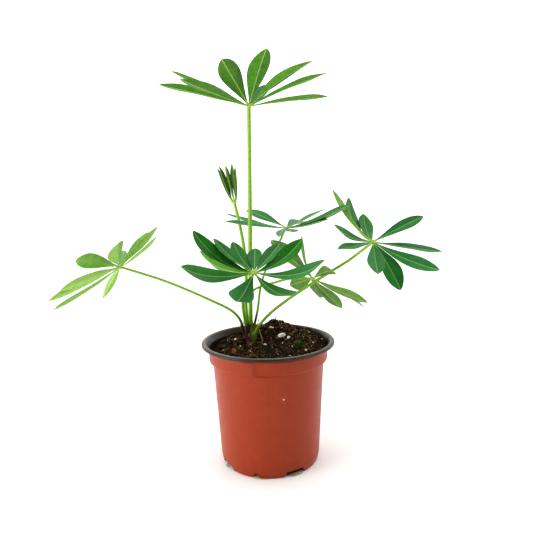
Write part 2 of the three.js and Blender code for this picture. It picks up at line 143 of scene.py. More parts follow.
class Heap:
    """The points (in millimetres), faces, face finishes and point measures of one piece."""

    def __init__(self, *measures):
        self.points, self.faces, self.finishes = [], [], []
        self.measures = {name: [] for name in measures}

    def add(self, points, faces, finish=0, **measures):
        start = len(self.points)
        self.points += points
        self.faces += [[start + i for i in face] for face in faces]
        self.finishes += finish if isinstance(finish, list) else [finish] * len(faces)
        for name, values in self.measures.items():
            given = measures.get(name, 0.0)
            values += given if isinstance(given, list) else [given] * len(points)


def fill(piece, heap):
    """Give a piece the mesh that a heap holds, in metres."""
    mesh = piece.data
    mesh.from_pydata([Vector(point) * METRES_PER_MM for point in heap.points], [], heap.faces)
    mesh.polygons.foreach_set("material_index", heap.finishes)
    mesh.polygons.foreach_set("use_smooth", [True] * len(heap.faces))
    for name, values in heap.measures.items():
        mesh.attributes.new(name, "FLOAT", "POINT").data.foreach_set("value", values)
    mesh.update()


def new_piece(name, materials, slot, *nodes):
    """An empty mesh piece that rides on the one body and stands for the given nodes."""
    mesh = bpy.data.meshes.new(name)
    for material in materials:
        mesh.materials.append(material)
    piece = bpy.data.objects.new(name, mesh)
    bpy.context.scene.collection.objects.link(piece)
    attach(piece, "root")
    if nodes:
        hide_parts(*nodes)
    return piece


def body_radius(height):
    """Outer radius of the pot's straight body at a height."""
    rise = (height - pot["chamfer_height"]) / (pot["collar_foot"] - pot["chamfer_height"])
    return pot["base_radius"] + (pot["body_top_radius"] - pot["base_radius"]) * rise


def rounded(profile, reach, steps=4):
    """Replace each inner corner of a profile by a small curve that starts a reach away."""
    points = [Vector(profile[0])]
    for before, corner, after in zip(profile, profile[1:], profile[2:]):
        before, corner, after = Vector(before), Vector(corner), Vector(after)
        start = corner + (before - corner).normalized() * min(reach, (before - corner).length * 0.45)
        end = corner + (after - corner).normalized() * min(reach, (after - corner).length * 0.45)
        for k in range(steps + 1):
            share = k / steps
            points.append(start.lerp(corner, share).lerp(corner.lerp(end, share), share))
    return points + [Vector(profile[-1])]


def turned(profile, segments):
    """Points and faces of a profile of (radius, height) turned about the vertical axis."""
    points, rings = [], []
    for radius, height in profile:
        count = 1 if radius < 1e-6 else segments
        rings.append(range(len(points), len(points) + count))
        for k in range(count):
            bearing = 2 * math.pi * k / segments
            points.append(Vector((radius * math.cos(bearing), radius * math.sin(bearing), height)))
    faces = []
    for low, high in zip(rings, rings[1:]):
        for k in range(segments):
            following = (k + 1) % segments
            corners = [low[k % len(low)], low[following % len(low)],
                       high[following % len(high)], high[k % len(high)]]
            faces.append(list(dict.fromkeys(corners)))
    return points, faces


def dent_depth(point):
    """How far the collar is pushed in at a point: steeply at the crease, then easing out."""
    bearing = math.degrees(math.atan2(point.y, point.x))
    across = (bearing - dent["crease"]) / (dent["end"] - dent["crease"])
    up = (point.z - dent["low"]) / (dent["high"] - dent["low"])
    if not (0 < across < 1 and 0 < up < 1):
        return 0
    if across < dent["steep_share"]:
        push = math.sin(across / dent["steep_share"] * math.pi / 2)
    else:
        easing = (across - dent["steep_share"]) / (1 - dent["steep_share"])
        push = (1 + math.cos(easing * math.pi)) / 2
    return dent["depth"] * push * math.sin(up * math.pi)


body_top = pot["collar_foot"] - 2
rim_foot = pot["height"] - pot["rim_depth"]
inner_collar = pot["collar_radius"] - pot["wall"]
pot_outside = [
    (0, 0), (pot["foot_radius"] - 0.8, 0), (pot["foot_radius"], 0.5),
    (pot["base_radius"], pot["chamfer_height"]), (body_radius(body_top), body_top),
    (body_radius(body_top) + 0.3, body_top + 1.5),
    (pot["collar_radius"] - 0.9, pot["collar_foot"] - 0.2),
    (pot["collar_radius"] - 0.3, pot["collar_foot"] + 0.9),
    (pot["collar_radius"] - 0.2, rim_foot - 3.4),
    (pot["collar_radius"] + 0.35, rim_foot - 2.7), (pot["collar_radius"] - 0.1, rim_foot - 1.9),
    (pot["collar_radius"] - 0.2, rim_foot - 0.9), (pot["collar_radius"] + 0.5, rim_foot),
]
pot_rim = [
    (pot["rim_radius"] - 0.8, rim_foot + 0.1), (pot["rim_radius"], rim_foot + 0.9),
    (pot["rim_radius"] - 0.1, pot["height"] - 0.8), (pot["rim_radius"] - 0.9, pot["height"]),
    (pot["mouth_radius"] + 0.6, pot["height"]), (pot["mouth_radius"] - 0.6, pot["height"] - 0.9),
    (inner_collar + 0.3, pot["height"] - 5), (inner_collar, pot["height"] - 7),
    (inner_collar - 0.3, pot["collar_foot"] + 1.7), (inner_collar - 1.3, pot["collar_foot"] + 0.4),
    (body_radius(body_top) - pot["wall"] + 0.3, pot["collar_foot"] - 0.6),
    (body_radius(body_top) - pot["wall"], body_top - 0.6),
    (pot["base_radius"] - pot["wall"], pot["chamfer_height"]),
    (pot["foot_radius"] - pot["wall"], pot["wall"] + 0.6),
    (pot["foot_radius"] - pot["wall"] - 0.7, pot["wall"]), (0, pot["wall"]),
]
corner_reach, corner_steps = 0.45, 4
pot_profile = rounded(pot_outside + pot_rim, corner_reach, corner_steps)
terracotta_bands = 1 + (corner_steps + 1) * (len(pot_outside) - 1)
pot_points, pot_faces = turned(pot_profile, pot["segments"])
for point in pot_points:
    radius = math.hypot(point.x, point.y)
    if radius > 1:
        bearing = math.atan2(point.y, point.x)
        sway = 0.18 * math.sin(11 * bearing + 1) * math.sin(math.pi * min(point.z / 90, 1))
        point.xy *= 1 - (dent_depth(point) + sway) / radius


def notch_cutters(outline, notch):
    """Blocks through the foot of the wall, with an outline of (across, up), at each bearing."""
    points, faces, count = [], [], len(outline)
    for k in range(notch["count"]):
        bearing = math.radians(notch["first"] + k * 360 / notch["count"])
        turn, start = Matrix.Rotation(bearing, 3, "Z"), len(points)
        for reach in notch_reach.values():
            points += [turn @ Vector((reach, across, up)) for across, up in outline]
        faces.append([start + i for i in reversed(range(count))])
        faces.append([start + count + i for i in range(count)])
        for i in range(count):
            j = (i + 1) % count
            faces.append([start + i, start + j, start + count + j, start + count + i])
    return points, faces


def cut_away(piece, points, faces):
    """Cut blocks out of a piece."""
    cutter = bpy.data.objects.new("cutter", bpy.data.meshes.new("cutter"))
    bpy.context.scene.collection.objects.link(cutter)
    block = Heap()
    block.add(points, faces)
    fill(cutter, block)
    cut = piece.modifiers.new("cut", "BOOLEAN")
    cut.object, cut.operation, cut.solver = cutter, "DIFFERENCE", "EXACT"
    graph = bpy.context.evaluated_depsgraph_get()
    whole = bpy.data.meshes.new_from_object(piece.evaluated_get(graph))
    piece.modifiers.clear()
    piece.data = whole
    bpy.data.objects.remove(cutter)


wide_half, wide_top_half = wide_notch["width"] / 2, wide_notch["top_width"] / 2
wide_outline = [(-wide_half, -1), (wide_half, -1), (wide_top_half, wide_notch["height"]),
                (-wide_top_half, wide_notch["height"])]
notch_half, arch_steps = small_notch["width"] / 2, 12
small_outline = [(-notch_half, -1), (notch_half, -1)]
for k in range(arch_steps + 1):
    angle = math.pi * k / arch_steps
    small_outline.append((notch_half * math.cos(angle),
                          small_notch["height"] - notch_half * (1 - math.sin(angle))))

terracotta_plastic = moulded_polypropylene("terracotta_polypropylene_moulded", "#933105", "#a24a1c",
                                           roughness=0.37)
# The rim's top ring, above 109.5 mm, gets a painted highlight in the paler brown.
brown_plastic = moulded_polypropylene("black_brown_polypropylene_moulded", "#2d2016", "#6a5947",
                                      roughness=0.38, highlight_above=0.1095)
pot_piece = new_piece("nursery_pot", [terracotta_plastic, brown_plastic], "pot_plastic", "pot")
first_rim_face = terracotta_bands * pot["segments"]
pot_heap = Heap()
pot_heap.add(pot_points, pot_faces, [0 if i < first_rim_face else 1 for i in range(len(pot_faces))])
fill(pot_piece, pot_heap)
for notch, outline in ((wide_notch, wide_outline), (small_notch, small_outline)):
    cut_away(pot_piece, *notch_cutters(outline, notch))
crisp_edge = math.radians(40)
pot_piece.data.set_sharp_from_angle(angle=crisp_edge)

# The mark that the mould's gate left on the front: a pale blister in a ring of faint pips.
gate = {"bearing": -76, "height": 71.7, "radius": 0.85, "ring": 2.8, "pips": 14, "pip_radius": 0.28}


def add_pip(heap, across, up, radius, finish):
    """Add a low dome on the pot's body, at a place measured from the middle of the gate mark."""
    points, faces = turned([(0, -0.5), (radius, -0.5), (radius, -0.05), (radius * 0.8, radius * 0.2),
                            (radius * 0.4, radius * 0.34), (0, radius * 0.4)], 16)
    height = gate["height"] + up
    bearing = math.radians(gate["bearing"]) + across / body_radius(height)
    place = (Matrix.Rotation(bearing, 4, "Z")
             @ Matrix.Translation((body_radius(height) + 0.05, 0, height))
             @ Matrix.Rotation(math.pi / 2, 4, "Y"))
    heap.add([place @ point for point in points], faces, finish)


blister_plastic = moulded_polypropylene("pale_polypropylene_gate_blister", "#e3ae95", "#ecc6b3",
                                        roughness=0.45)
pip_plastic = moulded_polypropylene("terracotta_polypropylene_pip", "#b4522e", "#c06a48",
                                    roughness=0.4)
gate_heap = Heap()
add_pip(gate_heap, 0, 0, gate["radius"], 0)
for k in range(gate["pips"]):
    angle = 2 * math.pi * k / gate["pips"]
    across, up = gate["ring"] * math.cos(angle), gate["ring"] * math.sin(angle)
    add_pip(gate_heap, across, up, gate["pip_radius"], 1)
fill(new_piece("gate_mark", [blister_plastic, pip_plastic], "pot_plastic"), gate_heap)


# ---- potting mix ------------------------------------------------------------------------------
# Coarse, moist peat mix, filled in loosely: dark crumbs with brown fibres, white perlite and
# some moss. It is heaped behind the plant, banked up to the rim at the right and lowest at the
# front left.

mix = {
    "level": 99, "floor": 1.5, "lowest": 96.5, "ring_spacing": 0.8, "segments": 260,
    "edge_gap": 0.25, "clod": 3.4, "crumb_count": 2100, "fibre_count": 420, "speck_count": 190,
}
hills = [
    {"x": 6, "y": 33, "height": 19, "radius": 19},
    {"x": 44, "y": 4, "height": 10, "radius": 24},
    {"x": 35, "y": 30, "height": 8, "radius": 19},
    {"x": -34, "y": 26, "height": 5, "radius": 16},
]
mix_wall_radius = inner_collar - 0.3 - mix["edge_gap"]


def loose_peat(name, dark, brown, straw):
    """Loose moist peat: dark brown, with painted shade that takes it almost to black in the gaps
    where its bumps are low, brown on the crumbs, with straw-coloured bits and no shine."""
    material, tree, place, tone = new_material(name, "tone")
    crumbs = add_node(tree, "TexNoise", inputs={"Vector": place, "Scale": 1 / 0.0022, "Detail": 4.0})
    # Painted shade: where the crumb noise, which also gives the bumps, is low, the colour goes near
    # black.
    uneven = add_node(tree, "MapRange", inputs={"Value": crumbs, "From Min": 0.35, "From Max": 0.7})
    flecks = add_node(tree, "TexVoronoi", inputs={"Vector": place, "Scale": 1 / 0.0013})
    fleck = add_node(tree, "MapRange", inputs={
        "Value": flecks.outputs["Distance"], "From Min": 0.16, "From Max": 0.06, "To Max": 0.35})
    ground = blend_colours(tree, uneven, dark, brown)
    toned = blend_colours(tree, tone, ground, straw)
    relief = add_node(tree, "Bump", inputs={"Height": crumbs, "Strength": 0.9, "Distance": 0.0006})
    give_surface(tree, {
        "Base Color": blend_colours(tree, fleck, toned, straw),
        "Roughness": 0.93,
        "Specular IOR Level": 0.15,
        "Normal": relief,
    })
    return material


def surface_height(x, y):
    """Height of the mix's surface, without its crumbs."""
    height = 0
    for hill in hills:
        away = (x - hill["x"]) ** 2 + (y - hill["y"]) ** 2
        height += hill["height"] * math.exp(-away / hill["radius"] ** 2)
    return mix["level"] + height


def crumb_height(x, y):
    """Height of the mix's surface with clods and crumbs."""
    place = Vector((x, y, 0))
    clods = 0.55 - noise.voronoi(place / mix["clod"])[0][0]
    height = (surface_height(x, y) + 2.4 * clods + 1.1 * noise.noise(place / 7)
              + 0.5 * noise.noise(place / 1.3))
    return max(height, mix["lowest"])


mix_profile = [
    (0, mix["floor"]), (pot["foot_radius"] - 1.9, mix["floor"]), (pot["foot_radius"] - 1.4, 2.3),
    (pot["base_radius"] - 1.5, pot["chamfer_height"]), (body_radius(body_top) - 1.5, body_top - 1),
    (body_radius(body_top) - 1.4, pot["collar_foot"] - 0.2),
    (mix_wall_radius - 1.2, pot["collar_foot"] + 1.8), (mix_wall_radius, pot["collar_foot"] + 2.6),
]
ring_count = int(mix_wall_radius / mix["ring_spacing"])
mix_profile += [(mix_wall_radius * k / ring_count, mix["level"])
                for k in range(ring_count, -1, -1)]
mix_points, mix_faces = turned(mix_profile, mix["segments"])
for point in mix_points:
    if point.z > pot["collar_foot"]:
        point.xy *= 1 - dent_depth(Vector((point.x, point.y, mix["level"]))) / mix_wall_radius
    if point.z == mix["level"]:
        point.z = crumb_height(point.x, point.y)

peat = loose_peat("peat_mix_loose", "#150f0b", "#3a2a1c", "#7b6040")
mix_heap = Heap("tone")
mix_heap.add(mix_points, mix_faces)
fill(new_piece("potting_mix_fill", [peat], "potting_mix", "potting_mix"), mix_heap)


def ball(subdivisions):
    """Points and faces of a ball of triangles with radius 1."""
    form = bmesh.new()
    bmesh.ops.create_icosphere(form, subdivisions=subdivisions, radius=1)
    points = [vertex.co.copy() for vertex in form.verts]
    faces = [[vertex.index for vertex in face.verts] for face in form.faces]
    form.free()
    return points, faces


def add_lump(heap, centre, half_sizes, draw, subdivisions, knobs=0.35, **measures):
    """Add an irregular lump, turned at random, with knobs on its surface."""
    points, faces = ball(subdivisions)
    turn = (Matrix.Rotation(draw.uniform(0, 6.28), 3, "Z")
            @ Matrix.Rotation(draw.uniform(-0.5, 0.5), 3, "X"))
    offset = Vector((draw.uniform(0, 99), draw.uniform(0, 99), 0))
    shaped = []
    for point in points:
        swell = (1 + knobs * noise.noise(point * 1.6 + offset)
                 + 0.5 * knobs * noise.noise(point * 3.7 + offset))
        sized = Vector([p * swell * half for p, half in zip(point, half_sizes)])
        shaped.append(turn @ sized + Vector(centre))
    heap.add(shaped, faces, **measures)


def mix_place(draw, reach):
    """A random place on the mix's surface, within a share of the way out to the wall."""
    radius = mix_wall_radius * reach * math.sqrt(draw.random())
    bearing = draw.uniform(0, 2 * math.pi)
    x, y = radius * math.cos(bearing), radius * math.sin(bearing)
    return x, y, crumb_height(x, y)


draw = random.Random(11)
crumb_heap = Heap("tone")
for _ in range(mix["crumb_count"]):
    x, y, z = mix_place(draw, 0.96)
    half = 0.45 + 1.25 * draw.random() ** 2.5
    sizes = [half * draw.uniform(low, high) for low, high in ((0.9, 1.5), (0.7, 1.1), (0.6, 0.9))]
    tone = draw.random() ** 4 * (0.9 if x > 0 else 0.6)
    add_lump(crumb_heap, (x, y, z + 0.2 * half), sizes, draw, 1 if half < 0.8 else 2, 0.5, tone=tone)
fill(new_piece("peat_crumbs", [peat], "potting_mix"), crumb_heap)


def frames_along(points):
    """A pair of cross directions at each point of a path, carried along without twisting."""
    frames, across = [], None
    for before, after in zip([points[0]] + points[:-1], points[1:] + [points[-1]]):
        ahead = (after - before).normalized()
        if across is None:
            across = ahead.orthogonal()
        across = (across - ahead * across.dot(ahead)).normalized()
        frames.append((across, ahead.cross(across)))
    return frames


def spoke(first, second, angle):
    """The direction at an angle round a path, between its two cross directions."""
    return first * math.cos(angle) + second * math.sin(angle)


def rod_faces(rings, sides):
    """Faces of a closed rod whose points are given ring by ring."""
    faces = []
    for ring in range(rings - 1):
        for k in range(sides):
            low, high = ring * sides, (ring + 1) * sides
            faces.append([low + k, low + (k + 1) % sides, high + (k + 1) % sides, high + k])
    faces.append(list(reversed(range(sides))))
    faces.append([(rings - 1) * sides + k for k in range(sides)])
    return faces


def add_strand(heap, path, radii, sides=5, **measures):
    """Add a closed round strand along a path, with a radius at each point."""
    points = []
    for centre, radius, (first, second) in zip(path, radii, frames_along(path)):
        for k in range(sides):
            points.append(centre + spoke(first, second, 2 * math.pi * k / sides) * radius)
    heap.add(points, rod_faces(len(path), sides), **measures)


# Torn fibres of peat lie between the crumbs, a few of them lifted at the middle.
fibre_heap = Heap("tone")
for _ in range(mix["fibre_count"]):
    x, y, z = mix_place(draw, 0.9)
    bearing, bend = draw.uniform(0, 6.28), draw.uniform(-0.35, 0.35)
    length, radius = draw.uniform(2.5, 9), draw.uniform(0.12, 0.3)
    path, steps = [], 5
    for k in range(steps + 1):
        path.append(Vector((x, y, 0)))
        x += math.cos(bearing) * length / steps
        y += math.sin(bearing) * length / steps
        bearing += bend
    if max(point.xy.length for point in path) > mix_wall_radius - 1.5:
        continue
    lift = draw.uniform(0.2, 1.5)
    for k, point in enumerate(path):
        point.z = crumb_height(point.x, point.y) + 0.3 + lift * math.sin(math.pi * k / steps)
    radii = [radius * share for share in (0.4, 0.9, 1, 1, 0.8, 0.3)]
    add_strand(fibre_heap, path, radii, tone=draw.uniform(0.15, 1))

# One pale fibre stands up in a loop at the front.
loop_path = [Vector(point) for point in ((-16.6, -20, 0.2), (-15.6, -21.4, 2.4), (-13.4, -22.4, 3.9),
                                         (-11, -22.4, 3.4), (-9.3, -21.6, 1.8), (-8.6, -20.4, 0.2))]
for point in loop_path:
    point.z += crumb_height(point.x, point.y)
add_strand(fibre_heap, loop_path, [0.2, 0.3, 0.34, 0.34, 0.28, 0.16], tone=1.0)

# Four dark twigs stick out of the top of the mound: a foot (x, y), and a reach from there.
twigs = [((4.2, 30.5), (1.6, 3.2, 3.4)), ((6.5, 31.5), (2.8, 2.2, 4.2)),
         ((2.5, 29.5), (-2, 1, 2.6)), ((9, 31), (3.5, 1.5, 1.6))]
for foot, reach in twigs:
    start = Vector((*foot, crumb_height(*foot) - 0.5))
    twig_path = [start, start + Vector(reach) * 0.55, start + Vector(reach)]
    add_strand(fibre_heap, twig_path, [0.5, 0.45, 0.2], tone=0.2)
straw = loose_peat("peat_fibre_torn", "#2b1d12", "#4d3620", "#a08049")
fill(new_piece("peat_fibres", [straw], "potting_mix"), fibre_heap)

# Fine tan roots that have grown out through the drainage notches and lie along the foot.
root_groups = [{"bearing": -107, "spread": 5, "drift": 14, "count": 13},
               {"bearing": -62, "spread": 11, "drift": 9, "count": 16},
               {"bearing": -152, "spread": 9, "drift": 5, "count": 6}]
root_heap = Heap("tone")
draw = random.Random(29)
for group in root_groups:
    for _ in range(group["count"]):
        start = group["bearing"] + draw.uniform(-0.5, 0.5) * group["spread"]
        end = start + draw.uniform(-0.25, 1) * group["drift"]
        low = draw.uniform(0.3, 0.9)
        path = []
        for share, radius, height in ((0, 41.6, draw.uniform(0.8, 2.6)),
                                      (0.1, 43.2, draw.uniform(0.7, 1.8)), (0.3, 44.4, low + 0.3),
                                      (0.6, 44.9, low), (0.85, 45.0, low + 0.2), (1, 44.6, low)):
            bearing = math.radians(start + (end - start) * share)
            radius += draw.uniform(-0.25, 0.25)
            path.append(Vector((radius * math.cos(bearing), radius * math.sin(bearing), height)))
        add_strand(root_heap, path, [0.24, 0.24, 0.22, 0.2, 0.16, 0.08], tone=draw.uniform(0.3, 1))
root_skin = loose_peat("rootlet_dry", "#6d5433", "#a5875a", "#d8c294")
fill(new_piece("notch_rootlets", [root_skin], "potting_mix"), root_heap)


# ---- perlite ----------------------------------------------------------------------------------
# Expanded volcanic glass, popped into light white grains. Six larger grains lie in the surface
# with many small ones between the crumbs, most of them on the right.

grains = [
    {"x": 13.5, "y": 15, "length": 9.4, "breadth": 4.8, "turn": 35},
    {"x": -3, "y": 8, "length": 4.2, "breadth": 2.8, "turn": -20},
    {"x": -31, "y": 22, "length": 4.6, "breadth": 2.6, "turn": 80},
    {"x": 3, "y": 24, "length": 2.8, "breadth": 2.4, "turn": 0},
    {"x": 19.5, "y": 12, "length": 3.8, "breadth": 3, "turn": 10},
    {"x": 33, "y": -16, "length": 3, "breadth": 2.6, "turn": 50},
]


def expanded_perlite(name, colour, dusty):
    """Expanded perlite: chalky white foam with fine pits, dusted brown by the peat."""
    material, tree, place = new_material(name)
    dust = add_node(tree, "TexNoise", inputs={"Vector": place, "Scale": 1 / 0.0015, "Detail": 3.0})
    dusted = add_node(tree, "MapRange", inputs={
        "Value": dust, "From Min": 0.5, "From Max": 0.75, "To Max": 0.7})
    pits = add_node(tree, "TexVoronoi", inputs={"Vector": place, "Scale": 1 / 0.0005})
    relief = add_node(tree, "Bump", inputs={
        "Height": pits.outputs["Distance"], "Strength": 0.5, "Distance": 0.0002})
    give_surface(tree, {
        "Base Color": blend_colours(tree, dusted, colour, dusty),
        "Roughness": 0.9,
        "Normal": relief,
    })
    return material


perlite = expanded_perlite("perlite_expanded", "#f1efe6", "#b3a488")
for number, grain in enumerate(grains, 1):
    draw = random.Random(30 + number)
    grain_heap = Heap()
    points, faces = ball(4)
    turn = Matrix.Rotation(math.radians(grain["turn"]), 3, "Z")
    height = surface_height(grain["x"], grain["y"]) + grain["breadth"] * 0.15
    offset = Vector((7.3 * number, 0, 0))
    shaped = []
    for point in points:
        swell = (0.95 + 0.14 * noise.noise(point * 1.5 + offset)
                 + 0.07 * noise.noise(point * 4 + offset))
        sized = Vector((point.x * grain["length"], point.y * grain["breadth"],
                        point.z * grain["breadth"]))
        shaped.append(turn @ sized * swell / 2 + Vector((grain["x"], grain["y"], height)))
    grain_heap.add(shaped, faces)
    name = f"perlite_grain_{number}"
    fill(new_piece(name + "_fine", [perlite], "perlite", name), grain_heap)

# The small grains are scattered, fewer of them at the left.
draw = random.Random(5)
speck_heap = Heap()
for _ in range(mix["speck_count"]):
    x, y, z = mix_place(draw, 0.95)
    if x < 0 and draw.random() < 0.6:
        continue
    half = 0.25 + 0.65 * draw.random() ** 3
    sizes = (half * draw.uniform(0.9, 1.5), half, half * draw.uniform(0.7, 1))
    add_lump(speck_heap, (x, y, z + half * 0.7), sizes, draw, 2 if half > 0.6 else 1)
fill(new_piece("perlite_specks", [perlite], "perlite"), speck_heap)


# ---- bark chip --------------------------------------------------------------------------------
# A splinter of composted conifer bark, orange-brown, broken along its grain, stuck upright in
# the mix at the left.

chip = {"x": -31, "y": -4, "length": 6.5, "breadth": 4.4, "thickness": 1.4, "turn": 80, "pitch": 62}


def broken_bark(name, pale, dark):
    """Broken conifer bark: dull orange-brown with dark streaks along the grain."""
    material, tree, place = new_material(name)
    stretched = add_node(tree, "Mapping", inputs={
        "Vector": place, "Rotation": (0, math.radians(-chip["pitch"]), 0), "Scale": (0.2, 1.0,
        1.0)})
    streaks = add_node(tree, "TexNoise", inputs={
        "Vector": stretched, "Scale": 1 / 0.0006, "Detail": 3.0})
    streaked = add_node(tree, "MapRange", inputs={
        "Value": streaks, "From Min": 0.4, "From Max": 0.65})
    relief = add_node(tree, "Bump", inputs={"Height": streaks, "Strength": 0.8, "Distance": 0.0003})
    give_surface(tree, {
        "Base Color": blend_colours(tree, streaked, pale, dark),
        "Roughness": 0.85,
        "Normal": relief,
    })
    return material


chip_points, chip_faces = ball(4)
chip_turn = (Matrix.Rotation(math.radians(chip["turn"]), 3, "Z")
             @ Matrix.Rotation(math.radians(-chip["pitch"]), 3, "Y"))
chip_centre = Vector((chip["x"], chip["y"], surface_height(chip["x"], chip["y"]) + 1))
chip_heap, shaped = Heap(), []
for point in chip_points:
    boxed = Vector([math.copysign(abs(p) ** 0.45, p) for p in point]) * 0.5
    ragged = 1 + 0.12 * noise.noise(Vector((0, boxed.y * 7, boxed.z)))
    sized = Vector((boxed.x * chip["length"] * ragged, boxed.y * chip["breadth"],
                    boxed.z * chip["thickness"] * (1 + 0.25 * noise.noise(boxed * 5))))
    shaped.append(chip_turn @ sized * 0.97 + chip_centre)
chip_heap.add(shaped, chip_faces)
bark = broken_bark("conifer_bark_broken", "#b3702f", "#5f3516")
fill(new_piece("bark_chip_fine", [bark], "bark", "bark_chip"), chip_heap)


# ---- moss -------------------------------------------------------------------------------------
# Small cushions of moss that grew on the damp mix: upright shoots a couple of millimetres tall,
# each a rosette of pointed leaves.

moss_cushions = [
    {"x": -5.5, "y": 4, "radius": 2.6, "shoots": 26, "tone": 0.2},
    {"x": 29, "y": -5, "radius": 5.5, "shoots": 70, "tone": 0.35},
    {"x": 1, "y": -6, "radius": 5, "shoots": 60, "tone": 0.0},
]


def moss_green(name, dark, bright):
    """Damp moss: deep green, brighter in patches on some shoots and cushions, with hardly any sheen.
    """
    material, tree, place, tone = new_material(name, "tone")
    uneven = add_node(tree, "TexNoise", inputs={"Vector": place, "Scale": 1 / 0.0015})
    share = add_node(tree, "Math", {"operation": "MULTIPLY"}, {0: uneven, 1: tone})
    bright_share = add_node(tree, "MapRange", inputs={"Value": share, "To Max": 2.0})
    give_surface(tree, {
        "Base Color": blend_colours(tree, bright_share, dark, bright),
        "Roughness": 0.8,
    })
    return material


def add_spike(heap, root, tip, radius, finish=0, **measures):
    """Add a slim closed spike with three sides, a third of a turn apart."""
    ahead = (tip - root).normalized()
    first = ahead.orthogonal().normalized()
    second = ahead.cross(first)
    base = [root + spoke(first, second, angle) * radius for angle in (0, 2.094, 4.189)]
    faces = [[0, 2, 1], [0, 1, 3], [1, 2, 3], [2, 0, 3]]
    heap.add(base + [tip], faces, finish, **measures)


draw = random.Random(23)
moss_heap = Heap("tone")
for cushion in moss_cushions:
    for _ in range(cushion["shoots"]):
        radius, bearing = cushion["radius"] * math.sqrt(draw.random()), draw.uniform(0, 6.28)
        x = cushion["x"] + radius * math.cos(bearing)
        y = cushion["y"] + radius * math.sin(bearing)
        foot = Vector((x, y, crumb_height(x, y) - 0.2))
        for ring, height in ((5, 0.5), (5, 1.0), (4, 1.5)):
            for k in range(ring):
                angle = 6.28 * k / ring + draw.uniform(0, 1)
                out = Vector((math.cos(angle), math.sin(angle), draw.uniform(0.5, 1.1)))
                root = foot + Vector((0, 0, height))
                tone = cushion["tone"] + draw.uniform(-0.1, 0.2)
                add_spike(moss_heap, root, root + out * draw.uniform(0.6, 1), 0.22, tone=tone)
damp_moss = moss_green("moss_damp", "#1d2a12", "#5f7a2a")
fill(new_piece("moss_cushions", [damp_moss], "young_leaf"), moss_heap)


# ---- leaf stalks ------------------------------------------------------------------------------
# Each leaf stands on a round, finely ridged green stalk, thin-skinned and juicy, with short white
# hairs. The stalks rise from one crown, where their feet widen into clasping brownish sheaths.

crown = {"x": -15.5, "y": 15.5, "heart": 104, "radius": 4.3, "shoulder_radius": 5.4, "shoulder": 109,
         "top": 114, "root_end": 52, "sheath_top": 124}

